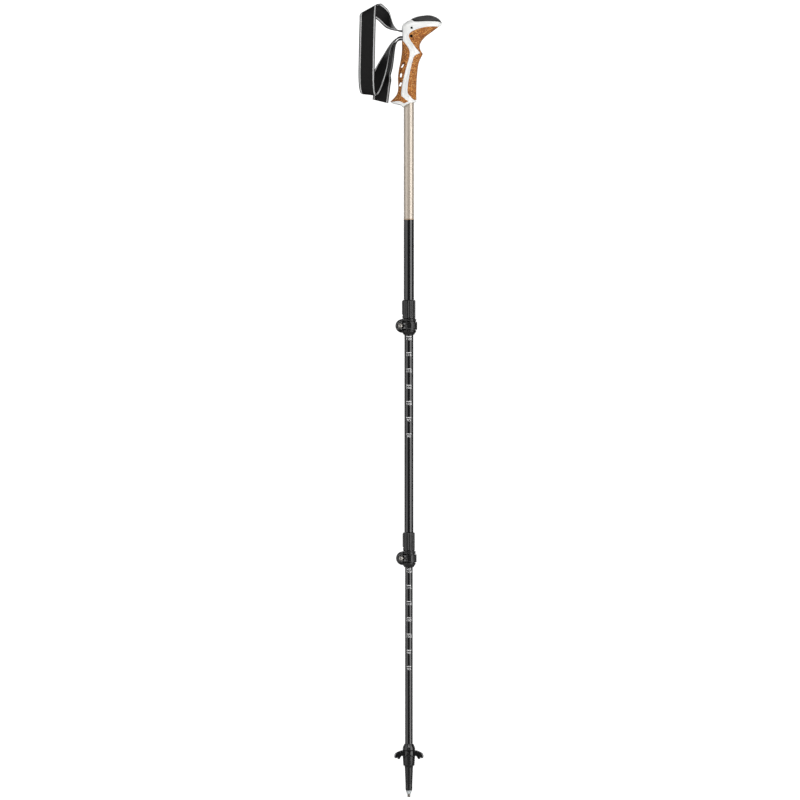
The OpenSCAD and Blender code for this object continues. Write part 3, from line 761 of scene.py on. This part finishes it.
STRAP_ROUTE = turn_round_pin(3.2, range(160, -86, -35), 1) + [
    # lower slot and the strand that runs out and down to the bottom of the loop
    (-4, 0, 107.1, 0, 1, 0), (-11, 0, 108.2, 0, 1, 0), (-16, 0, 107.3, -0.01, 1, 0.01),
    (-22, 0, 102.8, -0.06, 0.99, 0.06), (-28, 0.5, 94, -0.14, 0.97, 0.14), (-33, 1.5, 82, -0.3, 0.93, 0.22),
    (-38, 2.5, 68.5, -0.55, 0.78, 0.3), (-44, 3, 53, -0.74, 0.56, 0.34), (-51, 3.5, 37, -0.88, 0.3, 0.36),
    # the bend under the loop
    (-55.5, 3.4, 28, -0.94, 0.16, 0.26), (-58.6, 0.6, 22, -0.95, 0.22, 0.2), (-61, -4, 19.2, -0.94, 0.3, 0.12),
    (-63, -8.4, 22, -0.95, 0.28, 0.08),
    # the broad front band
    (-64.6, -10.6, 31, -0.98, 0.16, 0.04), (-65.3, -11, 49, -1, 0.04, 0), (-64.8, -10.8, 77, -1, 0, 0),
    (-64.2, -10.6, 105, -1, 0, 0), (-63.7, -10.3, 124, -0.99, 0, -0.1),
    # the slanted fold over the top, tight at its low end
    (-63.3, -9.9, 138, -0.93, 0, -0.36), (-62.9, -8.8, 147, -0.885, -0.03, -0.465),
    (-61.6, -5.6, 151, -0.87, -0.06, -0.49), (-58.2, -1.6, 151.4, -0.84, -0.16, -0.52),
    (-52.8, 1.8, 150.6, -0.70, -0.26, -0.67),
    # the strand that turns down into the upper slot
    (-45.4, 6, 147.2, -0.52, -0.34, -0.78), (-39.2, 7.2, 142, -0.38, -0.36, -0.85),
    (-34, 6.8, 136, -0.28, -0.55, -0.79), (-29.6, 5, 129.4, -0.15, -0.78, -0.6), (-26, 3, 124.4, -0.05, -0.92, -0.38),
    (-21.6, 1.2, 120.6, 0, -0.98, -0.2), (-16.5, 0, 118, 0, -1, -0.04), (-11, 0, 117, 0, -1, 0),
    (-4, 0, 116.4, 0, -1, 0),
] + turn_round_pin(6.6, range(90, -91, -30), -1) + [
    # the free tail, out of the lower slot, down behind the loop and round a kink to face the front
    (-4, 0, 103.3, 0, -1, 0), (-11, 0, 104.6, 0, -1, 0), (-15.7, 0, 103.5, 0.02, -1, 0),
    (-20.2, 0.3, 99.6, 0.08, -1, -0.02), (-24.2, 1.2, 92, 0.22, -0.98, -0.02), (-26.8, 2.6, 80, 0.32, -0.95, -0.03),
    (-29.2, 5.5, 66.5, 0.38, -0.92, -0.05), (-32, 8.6, 55.5, 0.42, -0.9, -0.06),
    (-35.4, 10.6, 48.5, 0.5, -0.86, -0.06), (-38.6, 12.2, 42.4, 0.9, -0.42, -0.12),
    (-40, 12.8, 37, 0.94, -0.28, -0.18), (-41, 13, 31, 0.95, -0.22, -0.2), (-42.4, 13.4, 21, 0.96, -0.16, -0.22),
    (-44, 13.8, 9.5, 0.96, -0.12, -0.24)]


def unit(v):
    return v / np.linalg.norm(v, axis=-1, keepdims=True)


def strap_frames(steps):
    """Places along the webbing, its slanted direction across for each millimetre of width, and out of it."""
    places, wide = np.split(smooth(STRAP_ROUTE, steps), 2, axis=1)
    wide = unit(wide)
    square = np.cross(unit(np.gradient(places, axis=0)), wide)
    wide = wide * np.minimum(1 / np.linalg.norm(square, axis=1, keepdims=True), 1.2)
    weights = np.hanning(2 * steps + 1) / steps
    inside = slice(steps, -steps)
    for track in (places, wide):
        track[inside] = np.stack([np.convolve(track[:, k], weights, "same") for k in range(3)], 1)[inside]
    return places, wide, unit(np.cross(np.gradient(places, axis=0), wide))


def webbing_columns():
    """Places across the webbing: dark selvedge, light line, dark middle. The light columns are listed too."""
    edge = STRAP_WIDTH / 2
    left = [-edge, -edge + 0.18, -edge + 0.55, -edge + 1.25, -edge + 1.35, -edge + 2.2, -edge + 3.05, -edge + 3.15]
    middle = list(np.linspace(-edge + 4.2, edge - 4.2, 11))
    columns = left + middle + [-c for c in reversed(left)]
    last = len(columns) - 1
    return columns, {3, 4, 5, 6, last - 4, last - 5, last - 6, last - 7}


def make_strap():
    places, wide, out = strap_frames(8)
    travelled = np.concatenate([[0], np.cumsum(np.linalg.norm(np.diff(places, axis=0), axis=1))])
    columns, light = webbing_columns()
    half, edge = STRAP_THICKNESS / 2, STRAP_WIDTH / 2
    n = len(columns)
    section = []
    for c in columns:
        rim = (1 - (abs(c) / edge) ** SELVEDGE_POWER) ** 0.5 if abs(c) < edge else 0
        ridge = LINE_RIDGE if LIGHT_LINE[0] < abs(c) < LIGHT_LINE[1] else 0
        section.append((c, half * max(rim, 0.12) - 0.1 + ridge))
    loop = section + [(c, -h) for c, h in reversed(section)]
    points = [p + c * w + h * o for p, w, o in zip(places, wide, out) for c, h in loop]
    size = len(loop)
    faces, cloth, shades = [], [], []
    for i in range(len(places) - 1):
        a, b = i * size, (i + 1) * size
        for k in range(size):
            j = (k + 1) % size
            faces.append((a + k, a + j, b + j, b + k))
            cloth.append([(loop[k][0], travelled[i]), (loop[j][0], travelled[i]), (loop[j][0], travelled[i + 1]),
                          (loop[k][0], travelled[i + 1])])
            column = k if k < n else size - 2 - k
            shades.append(1 if column in light else 0)
    for start in (0, (len(places) - 1) * size):
        for k in range(n - 1):
            faces.append((start + k, start + k + 1, start + size - 2 - k, start + size - 1 - k))
            cloth.append([(loop[k][0], 0), (loop[k + 1][0], 0), (loop[k + 1][0], 1), (loop[k][0], 1)])
            shades.append(1 if k in light else 0)
    mesh = raw_mesh("strap_webbing", points, faces)
    layer = mesh.uv_layers.new(name="cloth")
    layer.data.foreach_set("uv", np.array([uv for face in cloth for uv in face], float).ravel())
    mesh.polygons.foreach_set("material_index", shades)
    for material in (WEBBING, WEBBING_LINE):
        mesh.materials.append(material)
    strap = outwards(mesh)
    finish_piece(moved(strap, z=GRIP_Z), "strap_webbing", "grip_section", [], ["wrist_strap"])


# ---- Tubes and their length marks

PAINT_EDGE_Z = 891  # beige paint above, black below
PAINT_RING = 1.6
MARK_STEP = 25  # 5 cm of pole for each mark, half of it in each tube
MARK_LABELS = ("120", "115", "110", "105", "100", "95", "90")
MIDDLE_TOP_MARK_Z = 709.6
LOWER_TOP_MARK_Z = 351.3


def tube(name, radius, low, high, levels=()):
    """A tube with chamfered ends and extra rings at the given levels."""
    inner = radius - WALL
    outer = [(radius, z) for z in sorted([low + 1, high - 1, *levels])]
    return lathe(name, [(inner, low + 0.2), (inner + 0.2, low), (radius - 0.25, low), (radius, low + 0.25)] + outer + [
        (radius, high - 0.25), (radius - 0.25, high), (inner + 0.2, high), (inner, high - 0.2)], 128)


def make_tubes():
    lo, hi = node_mm("upper_tube")
    ring_low = PAINT_EDGE_Z - PAINT_RING
    upper = tube("upper_tube_painted", UPPER_R, lo[2], hi[2], (ring_low, PAINT_EDGE_Z))
    for material in (BEIGE, RING, BLACK_TUBE):
        upper.data.materials.append(material)
    for face in upper.data.polygons:
        z = face.center.z
        face.material_index = 0 if z > PAINT_EDGE_Z else 1 if z > ring_low else 2
    finish_piece(upper, "upper_tube_painted", "grip_section", [], ["upper_tube"])
    for name, cad, radius, body in (("middle_tube_black", "middle_tube", MIDDLE_R, "middle_section"),
                                    ("lower_tube_black", "lower_tube", LOWER_R, "lower_section")):
        lo, hi = node_mm(cad)
        finish_piece(tube(name, radius, lo[2], hi[2]), name, body, [BLACK_TUBE], [cad])


def label_mesh(text, size):
    """Flat numbers, upright in XY and centred, with a little thickness."""
    curve = bpy.data.curves.new("label", "FONT")
    curve.body = text
    curve.size = size
    curve.align_x = "CENTER"
    curve.align_y = "TOP"
    curve.extrude = 0.03
    curve.resolution_u = 4
    made = put("label", curve)
    graph = bpy.context.evaluated_depsgraph_get()
    mesh = bpy.data.meshes.new_from_object(made.evaluated_get(graph))
    bpy.data.objects.remove(made)
    return mesh


def make_marks(name, radius, top, body):
    """Seven numbered length marks on the front of a tube, wrapped round it."""
    work = bmesh.new()
    bar_half, bar_high, digit_size, digit_stretch = 0.60 * radius, 1, 4.7, 1.32
    for i, label in enumerate(MARK_LABELS):
        z = top - i * MARK_STEP
        digits = label_mesh(label, digit_size)
        digits.transform(Matrix.Translation((0, z - 1.6, 0)) @ Matrix.Diagonal((digit_stretch, 1, 1, 1)))
        work.from_mesh(digits)
        bar = bmesh.ops.create_cube(work, size=1)["verts"]
        for v in bar:
            v.co = Vector((v.co.x * 2 * bar_half, z + v.co.y * bar_high, v.co.z * 0.06))
    bmesh.ops.remove_doubles(work, verts=work.verts, dist=0.005)
    for x in np.arange(-0.75 * radius, 0.75 * radius, 0.35):
        everything = list(work.verts) + list(work.edges) + list(work.faces)
        bmesh.ops.bisect_plane(work, geom=everything, dist=0.004, plane_co=(float(x), 0, 0), plane_no=(1, 0, 0))
    bmesh.ops.remove_doubles(work, verts=work.verts, dist=0.005)
    bmesh.ops.dissolve_degenerate(work, edges=work.edges, dist=0.002)
    bmesh.ops.recalc_face_normals(work, faces=work.faces)
    for v in work.verts:
        angle, r = v.co.x / radius, radius + 0.03 + v.co.z
        v.co = Vector((r * math.sin(angle), -r * math.cos(angle), v.co.y))
    mesh = bpy.data.meshes.new(name)
    work.to_mesh(mesh)
    work.free()
    finish_piece(put(name, mesh), name, body, [INK])
    mesh.shade_flat()


# ---- Lever locks. Heights are from the screw's axis. tube_r is the radius of the tube that carries the lock, and
# inner_r that of the tube it clamps.

LOCK_VOXEL = 0.32
SLEEVE_TOP = 40
SEAT_RISE = 11.5  # the carrying tube ends here
GROOVES = 14
CLAMP_GAP = 2
BARREL_R = 2.6
LEVER_HALF = 6.1
LEVER_INSIDE = 2.15  # the lever's faces, beyond the radius of the carrying tube
LEVER_OUTSIDE = 4.55


def hinge_at(tube_r):
    """The barrel's place in plan."""
    return -(tube_r + 5.4), -(tube_r + 2)


def ear_faces(tube_r):
    """The ear's near and far face."""
    return 2.1 - tube_r, tube_r - 0.6


def bent_bar(stations):
    """A four-sided bar bent round Z. Each station is [angle, inner radius, outer radius, low, high]."""
    points = []
    for angle, inner, outer, low, high in stations:
        c, s = math.cos(math.radians(angle)), math.sin(math.radians(angle))
        points += [(r * c, r * s, z) for r, z in ((inner, low), (outer, low), (outer, high), (inner, high))]
    last = len(points) - 4
    sides = [(i + k, i + (k + 1) % 4, i + 4 + (k + 1) % 4, i + 4 + k) for i in range(0, last, 4) for k in range(4)]
    return solid("bent_bar", points, [(3, 2, 1, 0), (last, last + 1, last + 2, last + 3)] + sides)


def lying(target, x, y):
    """Turns a piece from the Z axis onto the Y axis, its low end towards the viewer, and moves it to x, y."""
    target.data.transform(Matrix.Rotation(math.radians(-90), 4, "X"))
    return moved(target, x, y, 0)


def clamp_body(tube_r, inner_r):
    """Cone, two flanges and the clamp ring between them, with moulded lines round the flanges."""
    flange, clamp = tube_r + 3.6, tube_r + 1.6
    return lathe("clamp", [
        (0, -14), (inner_r + 0.7, -14), (inner_r + 1.5, -13.2), (flange - 0.9, -9.9), (flange - 0.1, -9.1),
        (flange, -8.5), (flange - 0.45, -8.2), (flange - 0.45, -7.8), (flange, -7.5), (flange, -6.9),
        (flange - 0.4, -6.6), (clamp, -6.4), (clamp, 6.4), (flange - 0.4, 6.6), (flange, 6.9), (flange, 8.2),
        (flange - 0.55, 8.45), (flange - 0.55, 9), (flange, 9.25), (flange, 10.3), (flange - 0.4, 10.8),
        (tube_r + 0.9, 10.9), (tube_r + 0.9, 11.5), (tube_r + 1.4, 12), (0, 12)], 128)


def ear(tube_r):
    """Round ear with a broad chamfer and a shallow dished face on the viewer's side."""
    near, far = ear_faces(tube_r)
    made = lathe("ear", [
        (0, near + 0.5), (5.4, near + 0.5), (6, near), (7.7, near), (9.9, near + 1), (10.6, near + 2.2),
        (10.6, far - 1), (9.8, far), (5.6, far), (5.2, far - 0.4), (0, far - 0.4)], 96)
    return lying(made, -(tube_r + 2.2), 0)


def grooved_sleeve(tube_r):
    outer = tube_r + 2.15
    sleeve = lathe("sleeve", [
        (0, 11.4), (outer - 0.5, 11.4), (outer, 11.9), (outer, SLEEVE_TOP - 1.6), (outer - 0.35, SLEEVE_TOP - 0.8),
        (outer - 1.2, SLEEVE_TOP), (0, SLEEVE_TOP)], 128)
    cut(sleeve, *rods_round(GROOVES, 0.95, (outer + 0.5, 12.6), (outer + 0.5, 60), 20))
    strip = bent_bar([(a, tube_r, outer + 0.7, 17.5, 38) for a in range(156, 205, 4)])
    nick = bent_bar([(a, tube_r + 1.6, outer + 2, 15.6, 17.5) for a in range(164, 197, 4)])
    return cut(join(sleeve, strip), nick)


def make_collar(lock, body, tube_r, inner_r, z):
    hinge_x, _ = hinge_at(tube_r)
    _, far = ear_faces(tube_r)
    collar = join(clamp_body(tube_r, inner_r), ear(tube_r), grooved_sleeve(tube_r))
    seat = rod(tube_r + 0.02, (0, 0, SEAT_RISE - 0.3), (0, 0, 60), 128)
    bore = rod(inner_r + 0.08, (0, 0, -20), (0, 0, 20), 128)
    gap = block((-30, -CLAMP_GAP / 2, -15), (0, CLAMP_GAP / 2, 12))
    screw_hole = rod(2.3, (hinge_x, -30, 0), (hinge_x, 30, 0))
    nut_pocket = rod(4.15, (hinge_x, far - 3.2, 0), (hinge_x, far + 5, 0), 6)
    cut(collar, seat, bore)
    cut(collar, gap, screw_hole)
    cut(collar, nut_pocket)
    soften(collar, LOCK_VOXEL, 2)
    name = lock + "_collar_moulding"
    finish_piece(moved(collar, z=z), name, body, [LOCK_PLASTIC], [lock + "_lock_collar"])


def lever_shell(tube_r):
    """The arm round the clamp, narrower towards the hinge, and the hub it turns on."""
    inner, outer, root_half = tube_r + LEVER_INSIDE, tube_r + LEVER_OUTSIDE, 4.7
    hinge_x, hinge_y = hinge_at(tube_r)
    arm = []
    for angle in range(232, 353, 3):
        half = root_half + (LEVER_HALF - root_half) * ease(angle, 250, 300)
        flare = 0.5 * ease(angle, 338, 352)
        arm.append((angle, inner, outer + flare, -half, half))
    root = prism([
        (hinge_x - 0.4, hinge_y - 3.8), (hinge_x + 4.4, hinge_y - 3.2), (-tube_r + 3.5, -outer + 1.2),
        (-tube_r + 3.6, -inner - 0.6), (-tube_r + 1.4, -inner + 1.2), (hinge_x + 4.4, ear_faces(tube_r)[0] - 0.6),
        (hinge_x + 0.6, hinge_y + 3.6)], -root_half, root_half)
    return join(bent_bar(arm), root, rod(4, (hinge_x, hinge_y, -LEVER_HALF), (hinge_x, hinge_y, LEVER_HALF)))


def lever_hollow(tube_r):
    """The long dished hollow between the two raised rims."""
    outer = tube_r + LEVER_OUTSIDE
    stations = []
    for angle in range(235, 317, 3):
        half = 1.2 + 3.3 * ease(angle, 236, 276) - 0.5 * ease(angle, 300, 316)
        depth = 1.35 - 0.5 * ease(angle, 280, 290)
        stations.append((angle, outer - depth, outer + 3, -half, half))
    return bent_bar(stations)


def lever_rims(tube_r):
    """Raised beads along both edges of the hollow. They meet at the hinge end."""
    outer = tube_r + LEVER_OUTSIDE
    rims = []
    for side in (-1, 1):
        bead = []
        for angle in range(238, 329, 3):
            z = side * (1.9 + 3.4 * ease(angle, 236, 276) - 0.3 * ease(angle, 300, 316))
            top = outer + 0.55 * ease(angle, 234, 250) * (1 - ease(angle, 316, 328))
            bead.append((angle, outer - 0.8, top, z - 0.7, z + 0.7))
        rims.append(bent_bar(bead))
    return rims


def thumb_ridges(tube_r):
    """Upright ribs in the thumb end of the hollow."""
    low, high = tube_r + LEVER_OUTSIDE - 1.4, tube_r + LEVER_OUTSIDE - 0.7
    return [bent_bar([(angle, low, high, -half, half) for angle in (start, start + 3.2)])
            for start, half in ((288, 3.2), (296, 3.8), (304, 3.8))]


def lever_face(tube_r):
    """The lever's outline from the viewer's side: round behind the hinge."""
    hinge_x, _ = hinge_at(tube_r)
    radius, turns = 6.3, [math.radians(a) for a in range(75, 286, 10)]
    back = [(hinge_x + radius * math.cos(a), radius * math.sin(a)) for a in turns]
    return across(back + [(30, -8), (30, 8)])


def make_lever(lock, body, tube_r, z):
    hinge_x, hinge_y = hinge_at(tube_r)
    lever = cut(lever_shell(tube_r), lever_hollow(tube_r))
    join(lever, *lever_rims(tube_r), *thumb_ridges(tube_r))
    cut(lever, rod(5.9, (hinge_x, hinge_y, -3.7), (hinge_x, hinge_y, 3.7), 96),
        rod(BARREL_R + 0.1, (hinge_x, hinge_y, -20), (hinge_x, hinge_y, 20)))
    keep(lever, lever_face(tube_r))
    soften(lever, 0.25, 2)
    name = lock + "_lever_moulding"
    finish_piece(moved(lever, z=z), name, body, [LEVER_PLASTIC], [lock + "_lock_lever"])


def make_screw(lock, body, tube_r, z):
    """Domed cross-head screw over a washer, with its thread showing in the far ear."""
    hinge_x, hinge_y = hinge_at(tube_r)
    seat = hinge_y - 1.7
    end = tube_r - 0.8
    threads = []
    for k in range(12):
        y = end - 0.4 * k
        threads += [(2, y), (1.75, y - 0.2)]
    head = [
        (0, seat - 2), (1.9, seat - 1.95), (2.6, seat - 1.6), (3, seat - 0.95), (3.05, seat - 0.5),
        (3.35, seat - 0.45), (3.35, seat), (2, seat)]
    screw = lying(lathe("screw", head + threads[::-1] + [(1.4, end + 0.15), (0, end + 0.15)], 64), hinge_x, 0)
    top = seat - 2
    sockets = [block((hinge_x - a, top - 1, -b), (hinge_x + a, top + 0.9, b)) for a, b in ((1.9, 0.5), (0.5, 1.9))]
    cut(screw, rod(1, (hinge_x, top - 1, 0), (hinge_x, top + 1.4, 0), 24), *sockets)
    soften(screw, 0.12, 1)
    name = lock + "_cross_screw"
    finish_piece(moved(screw, z=z), name, body, [STEEL], [lock + "_lock_screw"])


def make_barrel(lock, body, tube_r, z):
    """Cross barrel with chamfered, centre-drilled ends."""
    hinge_x, hinge_y = hinge_at(tube_r)
    end = 0.2 - LEVER_HALF
    lower_half = [(0, end + 0.7), (0.6, end + 0.2), (0.9, end), (BARREL_R - 0.4, end), (BARREL_R, end + 0.4)]
    barrel = turned_pin("barrel", lower_half, 64)
    name = lock + "_hinge_barrel"
    finish_piece(moved(barrel, hinge_x, hinge_y, z), name, body, [STEEL], [lock + "_lock_barrel"])


def make_lock(lock, body, lever_body, tube_r, inner_r, z):
    make_collar(lock, body, tube_r, inner_r, z)
    make_lever(lock, lever_body, tube_r, z)
    make_screw(lock, body, tube_r, z)
    make_barrel(lock, body, tube_r, z)


# ---- Tip and basket. Heights are from the ground.

def make_tip_body():
    """Tapering plastic body with the bell on top, moulded rings and six shallow upright grooves round the bell."""
    body = lathe("tip_body", [
        (0, 10), (4.5, 10), (5, 10.5), (5.2, 11.4), (5, 11.7), (5, 12.1), (5.3, 12.5), (5.3, 20), (5.75, 30),
        (6.4, 46), (7, 48.4), (7, 71.4), (9.1, 71.5), (9.6, 71.9), (9.7, 72.6), (9.7, 75.2), (9.5, 76.4),
        (9, 77.9), (8.2, 79.6), (7.5, 81), (7.2, 81.7), (6.8, 82), (0, 82)], 128)
    cut(body, rod(LOWER_R + 0.02, (0, 0, 58), (0, 0, 120), 96), rod(3.02, (0, 0, 0), (0, 0, 24)))
    cut(body, *rods_round(6, 0.55, (10, 72.9), (9.9, 75.6), 16))
    soften(body, 0.3, 2)
    finish_piece(body, "tip_body", "lower_section", [TIP_PLASTIC], ["tip_shaft"])


def make_tip_point():
    """Scalloped steel holder and the hard point in it."""
    holder = lathe("holder", [
        (0, 4.6), (2.6, 4.6), (3.05, 4.8), (3.3, 5.3), (4.4, 9.3), (4.5, 9.98), (3, 10), (3, 23.5), (2.6, 23.9),
        (0, 23.9)], 96)
    cut(holder, rod(2.27, (0, 0, 0), (0, 0, 9.95), 48), *rods_round(6, 1.35, (4.55, 3.5), (5.1, 9.2), 32))
    soften(holder, 0.14, 1)
    finish_piece(holder, "scalloped_holder", "lower_section", [HOLDER_STEEL], ["tip_holder"])
    point = lathe("point", [
        (0, 0.35), (0.9, 0.3), (1.5, 0.05), (1.8, 0), (2.1, 0.25), (2.25, 0.8), (2.25, 9.6), (2, 9.9), (0, 9.9)], 64)
    finish_piece(point, "carbide_point", "lower_section", [CARBIDE], ["carbide_tip"])


BASKET_RIM = [  # underside from the hub to the hooked rim, then over the top and back
    (9.5, 63), (13.2, 63.8), (15, 62), (16.2, 59.2), (17, 58.8), (17.8, 59.6), (18.6, 61.8), (19.4, 62.2),
    (20.2, 60.8), (21.2, 60.1), (22.2, 60.9), (22.6, 63), (22.2, 65.3), (20.9, 67.6), (18, 69.4), (15, 70.8),
    (12.4, 71.8), (11, 71.5)]


def basket_plan():
    """Round hub with one lobe on each side, the lobes' corners rounded."""
    half, reach, corner = 8.5, 23, 3
    points = []
    for side in (1, -1):
        for y, start in ((-half + corner, -90), (half - corner, 0)):
            for k in range(7):
                a = math.radians(start + 15 * k)
                points.append((side * (reach - corner + corner * math.cos(a)), side * (y + corner * math.sin(a))))
    return points


def make_basket():
    rim = smooth(BASKET_RIM, 3)
    ring = lathe("basket", [(7.05, 48.5), (8.2, 48.4), (8.7, 48.9), (9.2, 57), (9.4, 61)] + [tuple(p) for p in rim] + [
        (10, 71.2), (7.05, 71.2)], 144)
    plan = join(prism(basket_plan(), 40, 80), rod(10.3, (0, 0, 40), (0, 0, 80), 96))
    keep(ring, plan)
    for side in (-1, 1):
        slit = block((-3.85, min(side * 6, side * 12), 64.1), (3.85, max(side * 6, side * 12), 65))
        notch = prism([(-2.6, 74), (-2.6, 70.6), (0, 67.4), (2.6, 70.6), (2.6, 74)], min(side * 7.4, side * 14),
                      max(side * 7.4, side * 14), "XZ")
        cut(ring, slit, notch)
    ribs = []
    for side in (-1, 1):
        for y in (-4.6, 4.6):
            ribs.append(rod(0.7, (side * 12.5, y, 72.3), (side * 19.5, y, 69.2), 16))
    cut(ring, *ribs)
    cut(ring, *[rod(1.5, (side * 18.2, 0, 50), (side * 18.2, 0, 80), 32) for side in (-1, 1)])
    soften(ring, 0.28, 2)
    finish_piece(ring, "basket_moulding", "basket", [TIP_PLASTIC], ["basket"])


# ---- Carried-over parts

SHARP_DEG = 40


def dress(node_name, material, bevel_mm):
    """Gives a CAD node its material and broken edges."""
    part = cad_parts[node_name]
    part.data.materials.clear()
    part.data.materials.append(material)
    made = part.modifiers.new("closed", "WELD")
    made.merge_threshold = 0.001 * MM
    made = part.modifiers.new("edges", "BEVEL")
    made.width = bevel_mm * MM
    made.segments = 2
    made.limit_method = "ANGLE"
    made.angle_limit = math.radians(SHARP_DEG)
    made.harden_normals = True


def dress_carried():
    for name in ("upper_lock_nut", "lower_lock_nut"):
        dress(name, STEEL, 0.25)
    for name in ("middle_guide_bush", "lower_guide_bush"):
        dress(name, BUSH_PLASTIC, 0.15)
    dress("strap_wedge", BUSH_PLASTIC, 0.2)


make_camera()
make_light()
make_floor()

WHITE = white_plastic()
CORK = cork()
CAP_RIM = cap_rubber("cap_rim_rubber", 0.012, 1600, 0.42)
CAP_PAD = cap_rubber("cap_pad_rubber", 0.056, 1250, 0.6)
# Each webbing gets a painted-shade colour for the weave's grooves and a painted-highlight colour for its crowns.
WEBBING = webbing("black_webbing", (0.0022, 0.0021, 0.0021), (0.0085, 0.008, 0.0082), 0.02)
WEBBING_LINE = webbing("light_webbing_line", grey(0.45), grey(0.80), 0.1)
BEIGE = painted_tube("beige_lacquer", (0.52, 0.445, 0.365), 0.35, 0.30, 1, 0.03)
RING = painted_tube("tan_ring", (0.40, 0.28, 0.18), 0.3, 0.35, 0.5, 0.10)
BLACK_TUBE = painted_tube("black_anodised", (0.0045, 0.0045, 0.005), 0, 0.16, 0.5, 0.3)
LOCK_PLASTIC = moulded_plastic("lock_nylon", 0.003, 0.22, 0.02, 0.5)
# The lever's strong pale edges are a painted highlight along its rims as well as rubbed wear.
LEVER_PLASTIC = moulded_plastic("lever_nylon", 0.006, 0.22, 0.13, 1.6)
TIP_PLASTIC = moulded_plastic("tip_polymer", 0.0035, 0.22, 0.025, 0.5)
BUSH_PLASTIC = moulded_plastic("bush_acetal", 0.05, 0.45, 0.2, 0.4)
STEEL = metal("plated_steel", (0.46, 0.44, 0.41), 0.34)
HOLDER_STEEL = metal("zinc_plated_steel", (0.86, 0.90, 0.91), 0.28, 0.6)
DARK_PIN = metal("blackened_steel", (0.008, 0.008, 0.009), 0.35)
CARBIDE = metal("sintered_carbide", (0.30, 0.27, 0.24), 0.45)
INK = printed_ink()

make_grip()
make_strap()
make_tubes()
make_marks("middle_length_marks", MIDDLE_R, MIDDLE_TOP_MARK_Z, "middle_section")
make_marks("lower_length_marks", LOWER_R, LOWER_TOP_MARK_Z, "lower_section")
make_lock("upper", "grip_section", "upper_lever", UPPER_R, MIDDLE_R, UPPER_LOCK_Z)
make_lock("lower", "middle_section", "lower_lever", MIDDLE_R, LOWER_R, LOWER_LOCK_Z)
make_tip_body()
make_tip_point()
make_basket()
dress_carried()
